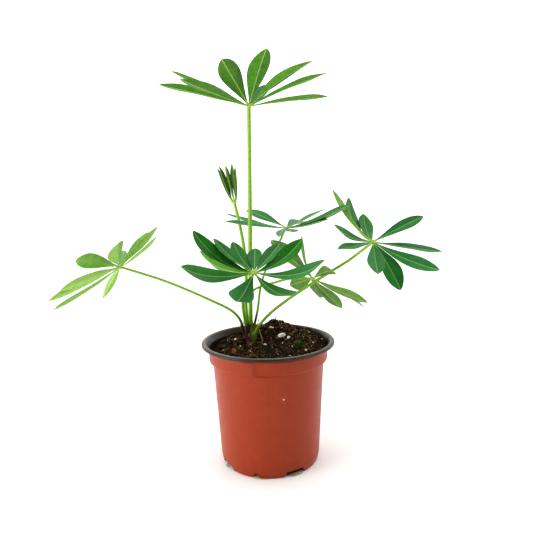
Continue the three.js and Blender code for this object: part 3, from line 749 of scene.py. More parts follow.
# Each leaf's hub, how far its axis leans and towards which bearing, the route of its stalk from
# the crown, and its leaflets: turn round the hub, lift, length, width, roll, arch and fold.
leaves = [
    {
        "name": "top_leaf", "hub": (-11.4, 0, 315.4), "lean": 5, "toward": -65, "stalk_radius": 1.9,
        "route": [(-15.7, 16, 114), (-15.6, 15, 126), (-15.3, 13, 142), (-14.6, 10, 165),
                  (-13.8, 7, 195), (-12.5, 3, 253)],
        "leaflets": [
            (8, 8, 70, 11, -20, 6, 14), (-30, 17, 74, 11, -6, 8, 14), (-43, 23, 73, 17, 3, 15, 14),
            (-79, 23, 80, 17, 10, 7, 14), (-105, 20, 73, 16.8, 33, 18, 14),
            (-127, 8, 81, 17, 5, -2, 14), (-146, 7, 82, 15, 12, 3, 14),
            (164, 23, 78, 12.3, 23, -7, 14), (75, 23, 68, 11, 17, -9, 14),
        ],
    },
    {
        "name": "left_leaf", "hub": (-132.6, 8, 178.6), "lean": 41, "toward": 176,
        "stalk_radius": 1.2,
        "route": [(-21.4, 16, 112), (-23.4, 15.5, 116), (-24.2, 15, 122), (-26.6, 15, 127),
                  (-32.6, 14.5, 133.7), (-52.6, 13, 145), (-92.9, 11, 164)],
        "leaflets": [
            (-36, -7, 62, 12.5, -7, -18, 8), (-12, 2, 53, 11.6, -18, -9, 8),
            (16, 10, 41, 11, -22, 7, 8), (88, 18, 52, 9, 58, 6, 8), (-63, 9, 52, 19, 6, 13, 12),
            (-101, 22, 55, 14.7, 18, 19, 8), (-110, 5, 78, 12.6, 13, 2, 8),
            (-122, 6, 79, 11.3, 21, 2, 8), (-176, 9, 71, 13.8, 12, -12, 8),
            (137, -5, 63, 9.8, 69, 32, 50),
        ],
    },
    {
        "name": "front_leaf", "hub": (-9.3, -58, 179.6), "lean": 17, "toward": -78,
        "stalk_radius": 1.3,
        "route": [(-19.3, 13, 114), (-20.8, 9, 127), (-21.8, 0, 141), (-19.7, -16, 155),
                  (-14.7, -38, 169)],
        "leaflets": [
            (-39, 25, 71, 13, 31, -61, 14), (42, 17, 57, 17, 3, -53, 14),
            (66, 7, 52, 14, -5, -11, 14),
            (90, 2, 46, 12.3, -8, 1, 14), (111, 6, 54, 13.6, 10, -25, 14),
            (129, 11, 57, 14.3, 14, -26, 14), (143, 16, 71, 17, -3, -62, 14),
            (141, 1, 62, 13, 64, -58, 14), (-145, 17, 68, 14.2, -34, -62, 14),
            (-105, -2, 50, 19, -14, -70, 14), (-58, 7, 59, 15.1, 4, -62, 14),
        ],
    },
    {
        "name": "right_leaf", "hub": (90.9, -20, 197.9), "lean": 36, "toward": -62,
        "stalk_radius": 1.3,
        "route": [(-10.9, 14, 114), (-8.5, 12.5, 118.6), (-5.6, 11, 123), (3, 8.5, 132.4),
                  (18.3, 6, 144.5), (37.4, 4.5, 157.2), (57.5, 5, 169.4), (73.7, -6, 181.7)],
        "leaflets": [
            (8, -1, 69, 12.8, -9, -4, 14), (34, 16, 60, 11.2, 6, 9, 14),
            (87, -6, 52, 14, 1, -32, 14),
            (101, 1, 67, 15.8, 28, -52, 14), (114, 3, 74, 12, 54, -32, 43),
            (-167, 19, 46, 11, -7, -42, 14), (-144, 5, 45, 12.1, 18, -7, 14),
            (-96, 1, 44, 14.5, 16, -14, 14), (-53, -23, 47, 16.9, 25, 27, 14),
            (-47, 15, 63, 11.9, 37, -41, 14),
        ],
    },
    {
        "name": "back_leaf", "hub": (19.9, 36, 208.9), "lean": 7, "toward": -104,
        "stalk_radius": 1.1,
        "route": [(-13.4, 18, 113), (-11.2, 19, 123.6), (-9, 20.5, 133), (-7.1, 23.5, 146),
                  (-5.7, 25, 154), (-0.8, 27, 169), (5.8, 30, 181)],
        "leaflets": [
            (-157, 12, 62, 13, -12, -10, 14), (171, 15, 61, 14.3, 2, -20, 14),
            (130, 12, 61, 11, -26, 9, 14), (65, -2, 47, 17, 8, 9, 14),
            (39, 12, 55, 14.2, -14, -6, 14),
            (-42, 19, 77, 14.5, 22, -28, 36), (-47, 13, 54, 13.9, 5, -16, 14),
            (-80, 5, 45, 11, 6, -20, 14), (-100, 0, 45, 9.5, 10, 10, 14),
        ],
    },
    {
        "name": "low_leaf", "hub": (42.5, 12, 162.8), "lean": 43, "toward": 26, "stalk_radius": 1.1,
        "route": [(-19.2, 19.2, 113), (-20.6, 22.2, 122), (-20.8, 22.7, 136), (-18.2, 22.3, 145),
                  (-13.4, 21, 151), (-5.6, 18.5, 155.5), (6.9, 15.5, 159.3), (21.7, 13.5, 163)],
        "leaflets": [
            (-71, 7, 44, 12.5, 2, 40, 14), (-143, -2, 58, 15, 44, 8, 14),
            (143, 39, 59, 8, 32, -32, 30), (114, -13, 43, 16.3, 30, -3, 14),
            (73, -1, 47, 16.1, -10, -10, 14), (46, 2, 54, 13, -40, -10, 14),
            (-4, 11, 54, 13.1, -20, -13, 14), (12, 9, 55, 13, 6, 13, 14),
        ],
    },
]
furled_leaf = {
    "name": "furled_leaf", "hub": (-28.2, 28, 234.2), "lean": 11, "toward": 180, "stalk_radius": 1.6,
    "route": [(-17.4, 18.1, 115), (-19.1, 18.6, 125), (-19.8, 18.8, 139), (-18.9, 21, 165),
              (-20.2, 24, 191), (-24.3, 26.5, 216)],
}


def curve_through(knots, spacing):
    """Points about a spacing apart on the centripetal Catmull-Rom curve through given knots."""
    knots = [Vector(knot) for knot in knots]
    ends = [knots[0] * 2 - knots[1]] + knots + [knots[-1] * 2 - knots[-2]]
    points = []
    for p0, p1, p2, p3 in zip(ends, ends[1:], ends[2:], ends[3:]):
        d0, d1, d2 = (math.sqrt((b - a).length) for a, b in ((p0, p1), (p1, p2), (p2, p3)))
        leave = ((p1 - p0) / d0 - (p2 - p0) / (d0 + d1) + (p2 - p1) / d1) * d1
        arrive = ((p2 - p1) / d1 - (p3 - p1) / (d1 + d2) + (p3 - p2) / d2) * d1
        steps = max(2, round((p2 - p1).length / spacing))
        for k in range(steps):
            t = k / steps
            points.append(p1 + leave * t + (3 * (p2 - p1) - 2 * leave - arrive) * t ** 2
                          + (2 * (p1 - p2) + leave + arrive) * t ** 3)
    return points + [knots[-1]]


def juicy_stalk(name, young, mature, shaded, foot):
    """Juicy living stalk: thin smooth skin over wet tissue, so a soft satin gloss, yellow-green
    with painted shade in the grooves between its ribs and a brown-purple flush near the soil."""
    material, tree, place, along, ridge, flush = new_material(name, "along", "ridge", "flush")
    height = add_node(tree, "SeparateXYZ", inputs={0: place}).outputs["Z"]
    blotches = add_node(tree, "TexNoise", inputs={
        "Vector": place, "Scale": 1 / 0.005, "Detail": 3.0})
    flush_from, flush_to, unevenness = 0.134, 0.116, 0.014
    uneven = add_node(tree, "Math", {"operation": "MULTIPLY_ADD"}, {
        0: blotches, 1: unevenness, 2: height})
    flushed = add_node(tree, "MapRange", inputs={
        "Value": uneven, "From Min": flush_from + unevenness / 2,
        "From Max": flush_to + unevenness / 2})
    flush_share = add_node(tree, "Math", {"operation": "MULTIPLY"}, {0: flushed, 1: flush})
    green = blend_colours(tree, along, mature, young)
    # Painted shade: the grooves between the ribs are blended towards the shaded green.
    lined = blend_colours(tree, ridge, green, shaded)
    give_surface(tree, {
        "Base Color": blend_colours(tree, flush_share, lined, foot),
        "Roughness": 0.42,
        "IOR": 1.4,
        "Subsurface Weight": 0.25,
        "Subsurface Radius": (0.4, 1.0, 0.2),
        "Subsurface Scale": 0.0012,
    })
    return material


def silky_hair(name, pale, green):
    """Silky plant hair: fine and pale, seen as a faint white fringe along edges."""
    material, tree, place = new_material(name)
    shade = add_node(tree, "TexNoise", inputs={"Vector": place, "Scale": 1 / 0.004})
    give_surface(tree, {
        "Base Color": blend_colours(tree, shade, pale, green),
        "Roughness": 0.5,
    })
    return material


stalk_skin = juicy_stalk("lupin_stalk_grown", young="#96bf38", mature="#7dad1e", shaded="#527c14",
                         foot="#3d2419")
hair = silky_hair("plant_hair_silky", "#eef0e0", "#b9c99a")
stalk_spacing, stalk_sides, ridge_count = 2.2, 20, 5
stalk_hairs = {"per_mm": 0.8, "shortest": 0.35, "longest": 0.8, "radius": 0.035}

# How strongly each stalk is flushed at its foot; above 1, the flush also starts higher.
stalk_flushes = {"top_leaf": 0.15, "left_leaf": 0.95, "front_leaf": 0.35, "right_leaf": 0.1,
                 "back_leaf": 1.5, "low_leaf": 1.0, "furled_leaf": 0.3}
draw = random.Random(41)
for leaf in leaves + [furled_leaf]:
    knots = [(crown["x"], crown["y"], crown["heart"])] + leaf["route"] + [leaf["hub"]]
    path = [point for point in curve_through(knots, stalk_spacing) if point.z > crown["heart"] + 3]
    total = len(path) - 1
    heap = Heap("along", "ridge", "flush")
    points, groove_shades = [], []
    frames = frames_along(path)
    for step, (centre, (first, second)) in enumerate(zip(path, frames)):
        share = step / total
        foot = max(0.0, (crown["sheath_top"] - centre.z) / (crown["sheath_top"] - crown["heart"]))
        radius = leaf["stalk_radius"] * (1.06 - 0.14 * share + 0.55 * foot ** 1.4)
        for k in range(stalk_sides):
            angle = 2 * math.pi * k / stalk_sides
            ridge = 0.5 + 0.5 * math.cos(ridge_count * angle)
            reach = radius * (0.97 + 0.05 * ridge)
            points.append(centre + spoke(first, second, angle) * reach)
            # Painted shade: a share that is largest in the grooves, where the stalk is thinnest.
            groove_shades.append(0.35 * (1 - ridge))
    along = [step / total for step in range(total + 1) for _ in range(stalk_sides)]
    heap.add(points, rod_faces(total + 1, stalk_sides), along=along, ridge=groove_shades,
             flush=stalk_flushes[leaf["name"]])
    for _ in range(int(total * stalk_spacing * stalk_hairs["per_mm"])):
        step = draw.randrange(4, total)
        out = spoke(*frames[step], draw.uniform(0, 6.28))
        root = path[step].lerp(path[step + 1], draw.random()) + out * leaf["stalk_radius"] * 0.85
        ahead = (path[step + 1] - path[step]).normalized()
        reach = out + ahead * draw.uniform(0.1, 0.9)
        tip = root + reach * draw.uniform(stalk_hairs["shortest"], stalk_hairs["longest"])
        add_spike(heap, root, tip, stalk_hairs["radius"], 1)
    name = leaf["name"] + "_stalk"
    fill(new_piece(name + "_fine", [stalk_skin, hair], "stalk_skin", name), heap)


# ---- crown ------------------------------------------------------------------------------------
# The short stem that all the leaf stalks rise from, with its taproot in the mix. Its skin is
# bark-brown and wine-red on the left, olive on the right, and pale where it leaves the mix.

def crown_bark(name, maroon, wine, olive, pale):
    """Young stem skin: thin and satin, flushed dark maroon to wine-red on one side and olive on
    the other, with pale tissue at the foot."""
    material, tree, place = new_material(name)
    parts = add_node(tree, "SeparateXYZ", inputs={0: place})
    blotches = add_node(tree, "TexNoise", inputs={
        "Vector": place, "Scale": 1 / 0.0035, "Detail": 4.0})
    sideways = add_node(tree, "Math", {"operation": "MULTIPLY_ADD"}, {
        0: blotches, 1: 0.008, 2: parts.outputs["X"]})
    right_share = add_node(tree, "MapRange", inputs={
        "Value": sideways, "From Min": -0.0125, "From Max": -0.0085})
    upward = add_node(tree, "Math", {"operation": "MULTIPLY_ADD"}, {
        0: blotches, 1: 0.01, 2: parts.outputs["Z"]})
    foot_share = add_node(tree, "MapRange", inputs={
        "Value": upward, "From Min": 0.1085, "From Max": 0.1055})
    wine_share = add_node(tree, "MapRange", inputs={
        "Value": upward, "From Min": 0.1125, "From Max": 0.1095})
    dark = blend_colours(tree, wine_share, maroon, wine)
    sides = blend_colours(tree, right_share, dark, olive)
    relief = add_node(tree, "Bump", inputs={
        "Height": blotches, "Strength": 0.5, "Distance": 0.0004})
    give_surface(tree, {
        "Base Color": blend_colours(tree, foot_share, sides, pale),
        "Roughness": 0.5,
        "Normal": relief,
    })
    return material


crown_skin = crown_bark("lupin_crown_grown", maroon="#40201a", wine="#6f2a33", olive="#74861f",
                        pale="#c9cc98")
crown_profile = [
    (0, crown["root_end"]), (0.9, crown["root_end"]), (2.2, 70), (crown["radius"] - 0.6, 92),
    (crown["radius"] - 1, 99), (crown["radius"] - 0.9, 103),
    (crown["shoulder_radius"] - 0.5, crown["shoulder"]),
    (crown["shoulder_radius"] - 0.4, crown["top"] - 2), (2.6, crown["top"]), (0, crown["top"] + 0.8),
]
crown_points, crown_faces = turned(rounded(crown_profile, 2.5, 5), 48)
crown_centre = Vector((crown["x"], crown["y"], 0))
for point in crown_points:
    knob = noise.noise(point / 3) * 0.5 + noise.noise(point / 1.1) * 0.15
    point.xy *= 1 + 0.12 * knob
crown_heap = Heap()
crown_heap.add([point + crown_centre for point in crown_points], crown_faces)

# Each stalk's foot is clasped by a flattened sheath, which ends in two papery stipules.
draw = random.Random(3)
for leaf in leaves + [furled_leaf]:
    knots = [(crown["x"], crown["y"], crown["heart"] - 5)] + leaf["route"][:3]
    path = [point for point in curve_through(knots, 1.0) if point.z < crown["sheath_top"] - 3]
    points, sides = [], 20
    for step, (centre, (first, second)) in enumerate(zip(path, frames_along(path))):
        share = step / (len(path) - 1)
        out = ((centre - crown_centre) * Vector((1, 1, 0))).normalized() if step else first
        radius = leaf["stalk_radius"] + 0.25 + 1.1 * (1 - share) ** 1.3
        for k in range(sides):
            angle = 2 * math.pi * k / sides
            aside = spoke(first, second, angle)
            flat = 1 + 0.22 * (1 - share) - 0.4 * (1 - share) * abs(aside.dot(out))
            points.append(centre + aside * radius * flat * (1 + 0.05 * math.cos(7 * angle)))
    crown_heap.add(points, rod_faces(len(path), sides))
    for side in (-1, 1):
        root = points[(len(path) - 4) * sides + (0 if side > 0 else sides // 2)]
        lean = (root - path[-4]).normalized()
        tip = root + lean * draw.uniform(0.8, 1.8) + Vector((0, 0, draw.uniform(5, 8)))
        add_spike(crown_heap, root - lean * 0.4, tip, 0.5, 1)
# A thin dry stub stands beside them.
dry_stub = [Vector(point) for point in ((-9.4, 17.4, 120), (-8.2, 17, 124), (-7.6, 16.6, 127.2))]
add_strand(crown_heap, dry_stub, [0.4, 0.34, 0.12], finish=1)
stipule = crown_bark("stipule_papery", maroon="#4a3423", wine="#6d4c36", olive="#8a7a4a",
                     pale="#c9b98c")
fill(new_piece("crown_fine", [crown_skin, stipule], "crown_skin", "crown"), crown_heap)

# A thin pale root that left the crown above the mix and hangs down beside it.
hanging_root = curve_through([(-9.6, 14.4, 119), (-8, 13.4, 115.6), (-6.9, 11.8, 112.4),
                              (-5.7, 10.6, 108.6), (-5.4, 10.2, 105.4), (-5.6, 10, 102)], 1.0)
crown_root_heap = Heap("tone")
add_strand(crown_root_heap, hanging_root,
           [0.25] + [0.32] * (len(hanging_root) - 2) + [0.2], tone=0.5)
fill(new_piece("crown_root", [root_skin], "crown_skin"), crown_root_heap)


# ---- open leaves ------------------------------------------------------------------------------
# Palmate leaves: narrow leaflets, widest past the middle, fixed round a small hub. Each is a thin
# soft blade, folded a little along its midrib, darker above and paler and downy below.

blade = {"thickness": 0.34, "root_half_width": 0.85, "tip_half_width": 0.12, "stations": 36,
         "wave": 0.3, "vein_spacing": 3.4, "midrib_depth": 0.45, "midrib_half_width": 0.42}
leaf_hairs = {"count": 70, "at_edge": 0.6, "shortest": 0.25, "longest": 0.55, "radius": 0.03}

# Places across a blade, from edge to edge: closest together at the edges and the midrib.
half_columns = [0.07, 0.16, 0.3, 0.48, 0.66, 0.82, 0.94, 1]
columns = [-column for column in reversed(half_columns)] + [0] + half_columns


def leaf_side(name, deep, fresh, sheen_colour, rib, roughness, hub="#a9c95a"):
    """One side of a living leaf: deep or fresh green by the leaf's age, mottled, with painted light
    and shade that makes one half of each leaflet a little lighter than the other, a pale midrib,
    fine side veins and, on a young leaf, a pale band along the midrib. A painted sheen blends each
    side towards a cool grey-green, more on some leaves than on others; the upper side has a satin
    gloss from its wax, and the underside is downy."""
    material, tree, place, age, bloom, along, across = new_material(
        name, "age", "bloom", "along", "across")
    away = add_node(tree, "Math", {"operation": "ABSOLUTE"}, {0: across})
    mottle = add_node(tree, "TexNoise", inputs={"Vector": place, "Scale": 1 / 0.006, "Detail": 5.0})
    mottled = add_node(tree, "MapRange", inputs={
        "Value": mottle, "From Min": 0.3, "From Max": 0.7, "To Min": 0.84, "To Max": 1.14})
    # Painted light and shade: one half of each leaflet is lightened and the other darkened.
    painted_half_shade = add_node(tree, "MapRange", inputs={
        "Value": across, "From Min": -0.5, "From Max": 0.5, "To Min": 1.1, "To Max": 0.88})
    toned = add_node(tree, "Math", {"operation": "MULTIPLY"}, {0: mottled, 1: painted_half_shade})
    slanted = add_node(tree, "Math", {"operation": "MULTIPLY_ADD"}, {0: away, 1: -1.25, 2: along})
    bent = add_node(tree, "Math", {"operation": "MULTIPLY_ADD"}, {0: mottle, 1: 1.4, 2: slanted})
    turns = add_node(tree, "Math", {"operation": "MULTIPLY"}, {
        0: bent, 1: 2 * math.pi / blade["vein_spacing"]})
    wave = add_node(tree, "Math", {"operation": "COSINE"}, {0: turns})
    vein = add_node(tree, "MapRange", inputs={"Value": wave, "From Min": 0.72, "From Max": 1.0})
    rib_share = add_node(tree, "MapRange", inputs={
        "Value": away, "From Min": 0.5, "From Max": 0.25, "To Max": 0.75})
    hub_share = add_node(tree, "MapRange", inputs={"Value": along, "From Min": 6.0, "From Max": 1.5})
    # Painted sheen: the green is blended towards the cool grey-green sheen colour by each leaf's
    # share.
    green = blend_colours(tree, bloom, blend_colours(tree, age, fresh, deep), sheen_colour)
    shade = add_node(tree, "CombineColor", inputs={0: toned, 1: toned, 2: toned})
    blade_green = blend_colours(tree, 1.0, green, shade, "MULTIPLY")
    vein_share = add_node(tree, "Math", {"operation": "MULTIPLY"}, {0: vein, 1: 0.12})
    band = add_node(tree, "MapRange", inputs={
        "Value": away, "From Min": 3.6, "From Max": 0.6, "To Max": 0.42})
    youth = add_node(tree, "MapRange", inputs={"Value": age, "From Min": 0.6, "From Max": 0.1})
    band_share = add_node(tree, "Math", {"operation": "MULTIPLY"}, {0: band, 1: youth})
    banded = blend_colours(tree, band_share, blade_green, rib)
    veined = blend_colours(tree, vein_share, banded, rib)
    ribbed = blend_colours(tree, rib_share, veined, rib)
    lines = add_node(tree, "Math", {"operation": "ADD"}, {0: vein, 1: mottle})
    relief = add_node(tree, "Bump", inputs={"Height": lines, "Strength": 0.35, "Distance": 0.00012})
    give_surface(tree, {
        "Base Color": blend_colours(tree, hub_share, ribbed, hub),
        "Roughness": roughness,
        "IOR": 1.42,
        "Specular IOR Level": 0.22,
        "Subsurface Weight": 0.15,
        "Subsurface Radius": (0.5, 1.0, 0.15),
        "Subsurface Scale": 0.0008,
        "Normal": relief,
    })
    return material


def withered_scar(name, brown, green):
    """Withered leaf tissue, as in the scar of a hub: dry, brown and dull, with a little green."""
    material, tree, place = new_material(name)
    uneven = add_node(tree, "TexNoise", inputs={"Vector": place, "Scale": 1 / 0.0006})
    give_surface(tree, {
        "Base Color": blend_colours(tree, uneven, brown, green),
        "Roughness": 0.7,
    })
    return material


def half_width(share, width):
    """Half the width of a leaflet at a share of its length."""
    bulge = math.sin(math.pi * min(share, 1) ** 1.65)
    least = blade["root_half_width"] + (blade["tip_half_width"] - blade["root_half_width"]) * share
    return max(least, max(bulge, 0) ** 0.76 * width / 2)


def blade_point(leaflet, share, across, depth):
    """A point of a leaflet along +X with its upper side up: across runs from -1 to 1, and depth
    goes down through the blade."""
    arc, fold = leaflet["arc"], leaflet["fold"]
    slope = arc * (0.5 - share)
    x = leaflet["length"] * (math.sin(arc / 2) - math.sin(slope)) / arc
    z = leaflet["length"] * (math.cos(slope) - math.cos(arc / 2)) / arc
    half = half_width(share, leaflet["width"])
    fullness = min(1, half / 5)
    side = math.copysign(1, across)
    away = abs(across)
    groove = math.sqrt(away ** 2 + 0.004) - 0.063  # the fold, rounded at the midrib
    swell = 0.035 * math.sin(math.pi * away)  # a slight arch in each half
    ripple = math.sin(leaflet["ripples"] * share + leaflet["phase"] + side * leaflet["skew"])
    rise = (groove * math.sin(fold) + swell) * half
    rise += blade["wave"] * fullness * away ** 3 * ripple
    ridge = math.exp(-(across * half / blade["midrib_half_width"]) ** 2)
    rib = blade["midrib_depth"] * (1.1 - share) * ridge
    sunk = depth * (1 - 0.5 * away ** 6) + (rib if depth else 0)
    rise -= sunk * math.cos(fold)
    y = across * half * math.cos(fold) + side * depth * math.sin(fold) * min(1, away * 4)
    return Vector((x - math.sin(slope) * rise, y, z + math.cos(slope) * rise))


def add_leaflet(heap, leaflet, place, age, bloom, draw):
    """Add one leaflet with its hairs: upper side in finish 0, underside and edge in finish 1."""
    points, faces, finishes, along, across = [], [], [], [], []
    count, last = len(columns), blade["stations"]
    for station in range(last + 1):
        share = (station / last) ** 0.92
        for depth in (0, blade["thickness"]):
            for column in columns:
                points.append(place @ blade_point(leaflet, share, column, depth))
                along.append(share * leaflet["length"])
                across.append(column * half_width(share, leaflet["width"]))
    row = 2 * count
    for station in range(last):
        low, high = station * row, (station + 1) * row
        for k in range(count - 1):
            faces.append([low + k, high + k, high + k + 1, low + k + 1])
            faces.append([i + count for i in (low + k + 1, high + k + 1, high + k, low + k)])
            finishes += [0, 1]
        faces.append([low, low + count, high + count, high])
        faces.append([high + count - 1, high + row - 1, low + row - 1, low + count - 1])
        finishes += [1, 1]
    for k in range(count - 1):
        end = last * row
        faces.append([k, k + 1, count + k + 1, count + k])
        faces.append([end + k + 1, end + k, end + count + k, end + count + k + 1])
        finishes += [1, 1]
    heap.add(points, faces, finishes, along=along, across=across, age=age, bloom=bloom)
    for _ in range(leaflet["hairs"]):
        share, side = draw.uniform(0.12, 0.99), draw.choice((-1, 1))
        at_edge = draw.random() < leaf_hairs["at_edge"]
        column = side if at_edge else side * draw.uniform(0, 0.9)
        root = blade_point(leaflet, share, column, blade["thickness"] * 0.8)
        out = Vector((draw.uniform(0.5, 1.2), side * (0.9 if at_edge else 0.1),
                      draw.uniform(-0.3, 0.1) if at_edge else -0.8))
        tip = root + out.normalized() * draw.uniform(leaf_hairs["shortest"], leaf_hairs["longest"])
        add_spike(heap, place @ root, place @ tip, leaf_hairs["radius"], 3)


def leaf_frame(leaf):
    """Turns leaf-frame points into place: +Z becomes the leaf's axis, from its hub."""
    lean, toward = math.radians(leaf["lean"]), math.radians(leaf["toward"])
    axis = Vector((math.sin(lean) * math.cos(toward), math.sin(lean) * math.sin(toward),
                   math.cos(lean)))
    across = Vector((1, 0, 0))
    across = (across - axis * across.dot(axis)).normalized()
    turn = Matrix((across, axis.cross(across), axis)).transposed().to_4x4()
    return Matrix.Translation(leaf["hub"]) @ turn


def add_hub(heap, place, age):
    """Add the hub: a low ring with a sunk scar, drawn in below to the stalk."""
    profile = [(0, -2.4), (1.0, -2.3), (1.7, -1.4), (2.2, -0.4), (2.2, 0.4), (1.8, 0.95), (1.2, 1.0),
               (0.75, 0.7), (0.5, 0.45), (0, 0.4)]
    points, faces = turned(rounded(profile, 0.3, 2), 28)
    finishes = [2 if max(Vector(points[i][:2]).length for i in face) < 0.72 and points[face[0]].z > 0
                else 1 for face in faces]
    heap.add([place @ point for point in points], faces, finishes, along=0.0, across=1.0, age=age)


# Each side's sheen colour is a painted sheen, blended in by each leaf's share.
waxy_upper = leaf_side("lupin_leaf_upper_waxy", deep="#0c6407", fresh="#3d8a2a", sheen_colour="#3f8062",
                       rib="#7fae5a", roughness=0.45)
downy_underside = leaf_side("lupin_leaf_underside_downy", deep="#467c18", fresh="#93c05c",
                            sheen_colour="#6d8a55", rib="#9dc468", roughness=0.6)
scar = withered_scar("hub_scar_dry", "#4a3a1c", "#7d8a3a")
leaf_ages = {"top_leaf": 1.0, "left_leaf": 0.1, "front_leaf": 0.95, "right_leaf": 0.75,
             "back_leaf": 0.6, "low_leaf": 0.7}
# How much painted sheen each leaf's colour takes.
leaf_painted_sheens = {"top_leaf": 0.05, "left_leaf": 0.0, "front_leaf": 0.05, "right_leaf": 0.2,
               "back_leaf": 0.4, "low_leaf": 0.45}

# A small withered spot on one leaflet of the front leaf: its place and half sizes as shares of
# the blade's length and half width, and how high and low it reaches through the blade.
withered_spot = {"leaf": "front_leaf", "leaflet": 8, "share": 0.37, "across": 0.12, "long": 0.022,
                 "wide": 0.22, "corners": 12, "depths": (-0.08, 0.1)}


def add_spot(heap, leaflet, place):
    """Add the withered spot to a leaflet, as a thin round scab in finish 2."""
    count = withered_spot["corners"]
    scab = []
    for depth in withered_spot["depths"]:
        for k in range(count):
            angle = 2 * math.pi * k / count
            share = withered_spot["share"] + withered_spot["long"] * math.cos(angle)
            across = withered_spot["across"] + withered_spot["wide"] * math.sin(angle)
            scab.append(place @ blade_point(leaflet, share, across, depth))
    faces = [list(range(count)), list(reversed(range(count, 2 * count)))]
    faces += [[k, (k + 1) % count, count + (k + 1) % count, count + k] for k in range(count)]
    heap.add(scab, faces, 2)


for leaf in leaves:
    draw = random.Random(leaf["name"])
    heap = Heap("along", "across", "age", "bloom")
    at_hub = leaf_frame(leaf)
    age, bloom = leaf_ages[leaf["name"]], leaf_painted_sheens[leaf["name"]]
    add_hub(heap, at_hub, age)
    for index, (turn, lift, length, width, roll, arch, fold) in enumerate(leaf["leaflets"]):
        leaflet = {
            "length": length, "width": width, "arc": math.radians(arch), "fold": math.radians(fold),
            "ripples": draw.uniform(7, 12), "phase": draw.uniform(0, 6.28),
            "skew": draw.uniform(0, 2), "hairs": leaf_hairs["count"],
        }
        place = (at_hub @ Matrix.Rotation(math.radians(turn), 4, "Z")
                 @ Matrix.Rotation(math.radians(-lift), 4, "Y")
                 @ Matrix.Rotation(math.radians(roll), 4, "X"))
        leaflet_age = min(1, max(0, age + draw.uniform(-0.15, 0.15)))
        leaflet_painted_sheen = max(0, bloom + draw.uniform(-0.12, 0.12))
        add_leaflet(heap, leaflet, place, leaflet_age, leaflet_painted_sheen, draw)
        if (leaf["name"], index) == (withered_spot["leaf"], withered_spot["leaflet"]):
            add_spot(heap, leaflet, place)
    finishes = [waxy_upper, downy_underside, scar, hair]
    fill(new_piece(leaf["name"] + "_fine", finishes, "leaf", leaf["name"]), heap)


# ---- furled leaf ------------------------------------------------------------------------------
# The youngest leaf, not open yet: eight leaflets folded shut along their midribs and standing
# close together, silvery with down.

furled = {"count": 8, "root_radius": 2, "lift": 79, "length": 36, "width": 7, "fold": 66,
          "arch": -16, "hairs": 110}
young_upper = leaf_side("young_leaf_upper_downy", deep="#17400c", fresh="#33661a", sheen_colour="#4a6b3c",
                        rib="#7fa050", roughness=0.5)
young_underside = leaf_side("young_leaf_underside_silvery", deep="#26500f", fresh="#557c2a",
                            sheen_colour="#7c9060", rib="#8caa58", roughness=0.6)
draw = random.Random(8)
heap = Heap("along", "across", "age", "bloom")
at_hub = leaf_frame(furled_leaf)
add_hub(heap, at_hub, 0.4)
for k in range(furled["count"]):
    leaflet = {
        "length": furled["length"] * draw.uniform(0.86, 1), "width": furled["width"],
        "arc": math.radians(furled["arch"]), "fold": math.radians(furled["fold"]),
        "ripples": 6, "phase": draw.uniform(0, 6.28), "skew": 1, "hairs": furled["hairs"],
    }
    place = (at_hub @ Matrix.Rotation(2 * math.pi * k / furled["count"], 4, "Z")
             @ Matrix.Translation((furled["root_radius"], 0, 0))
             @ Matrix.Rotation(math.radians(-furled["lift"]), 4, "Y"))
    add_leaflet(heap, leaflet, place, draw.uniform(0.2, 0.8), 0.1, draw)
finishes = [young_upper, young_underside, scar, hair]
fill(new_piece("furled_leaf_fine", finishes, "young_leaf", "furled_leaf"), heap)


# ---- floor, light and camera ------------------------------------------------------------------
# A plain pale floor under a soft white studio sky, lit from above and from the left, with the
# camera 0.44 m in front of the pot's axis and 0.23 m up, looking a little down.

def matt_paper(name, colour):
    """Matt white paper: no sheen, with a faint uneven tooth."""
    material, tree, place = new_material(name)
    tooth = add_node(tree, "TexNoise", inputs={"Vector": place, "Scale": 1 / 0.004, "Detail": 3.0})
    relief = add_node(tree, "Bump", inputs={"Height": tooth, "Strength": 0.05, "Distance": 0.0002})
    give_surface(tree, {"Base Color": colour, "Roughness": 0.95, "Specular IOR Level": 0.1,
                        "Normal": relief})
    return material


floor_half = 3000
floor = bpy.data.objects.new("floor", bpy.data.meshes.new("floor"))
floor.data.materials.append(matt_paper("white_paper_matt", "#fcfcfb"))
bpy.context.scene.collection.objects.link(floor)
floor_corners = [(x * floor_half, y * floor_half, 0)
                 for x, y in ((-1, -1), (1, -1), (1, 1), (-1, 1))]
floor_heap = Heap()
floor_heap.add(floor_corners, [(0, 1, 2, 3)])
fill(floor, floor_heap)

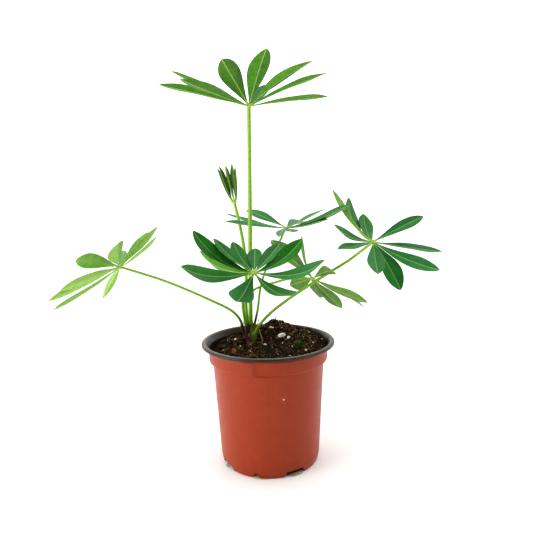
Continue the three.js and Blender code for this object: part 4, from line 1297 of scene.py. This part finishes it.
# The sky lights the plant from behind and above, less from the camera's side, and looks white
# from everywhere.
sky_full, sky_front = 1.38, 0.3
studio = bpy.data.worlds.new("white_studio")
bpy.context.scene.world = studio
studio.use_nodes = True
sky = studio.node_tree
sky.nodes.clear()
facing = add_node(sky, "TexCoord").outputs["Generated"]
sky_parts = add_node(sky, "SeparateXYZ", inputs={0: facing})
open_share = add_node(sky, "MapRange", {"interpolation_type": "SMOOTHSTEP"}, {
    "Value": sky_parts.outputs["Y"], "From Min": -0.95, "From Max": -0.1, "To Min": sky_front,
    "To Max": sky_full})
seen = add_node(sky, "LightPath").outputs["Is Camera Ray"]
backdrop = add_node(sky, "MapRange", inputs={"Value": seen, "To Max": sky_full})
strength = add_node(sky, "Math", {"operation": "MAXIMUM"}, {0: open_share, 1: backdrop})
sky_light = add_node(sky, "Background", inputs={"Color": (1, 1, 1, 1), "Strength": strength})
add_node(sky, "OutputWorld", inputs={"Surface": sky_light})


def soft_light(name, place, target, size, power):
    """A square softbox that faces a target; places and sizes are in millimetres."""
    lamp = bpy.data.lights.new(name, "AREA")
    lamp.size, lamp.energy = size * METRES_PER_MM, power
    light = bpy.data.objects.new(name, lamp)
    light.location = Vector(place) * METRES_PER_MM
    light.rotation_euler = (Vector(target) - Vector(place)).to_track_quat("-Z", "Y").to_euler()
    bpy.context.scene.collection.objects.link(light)


soft_light("left_softbox", (-900, -420, 260), target=(0, 0, 180), size=450, power=4.5)

camera_place = Vector((0, -442, 233))
camera_pitch, camera_roll, camera_pan = (math.radians(angle) for angle in (-7.28, -1.41, 0.045))
focal_pixels, image_pixels, sensor_width = 500, 533, 36
camera_data = bpy.data.cameras.new("camera")
camera_data.sensor_width = sensor_width
camera_data.lens = sensor_width * focal_pixels / image_pixels
camera_data.clip_start, camera_data.clip_end = 0.01, 20
camera = bpy.data.objects.new("camera", camera_data)
forward = Vector((math.sin(camera_pan) * math.cos(camera_pitch),
                  math.cos(camera_pan) * math.cos(camera_pitch), math.sin(camera_pitch)))
level = Vector((math.cos(camera_pan), -math.sin(camera_pan), 0))
rise = level.cross(forward)
right = level * math.cos(camera_roll) + rise * math.sin(camera_roll)
up = rise * math.cos(camera_roll) - level * math.sin(camera_roll)
camera.matrix_world = Matrix.Translation(camera_place * METRES_PER_MM) @ Matrix(
    (right, up, -forward)).transposed().to_4x4()
bpy.context.scene.collection.objects.link(camera)
bpy.context.scene.camera = camera
bpy.context.scene.view_settings.view_transform = "Standard"
bpy.context.scene.view_settings.look = "Medium High Contrast"
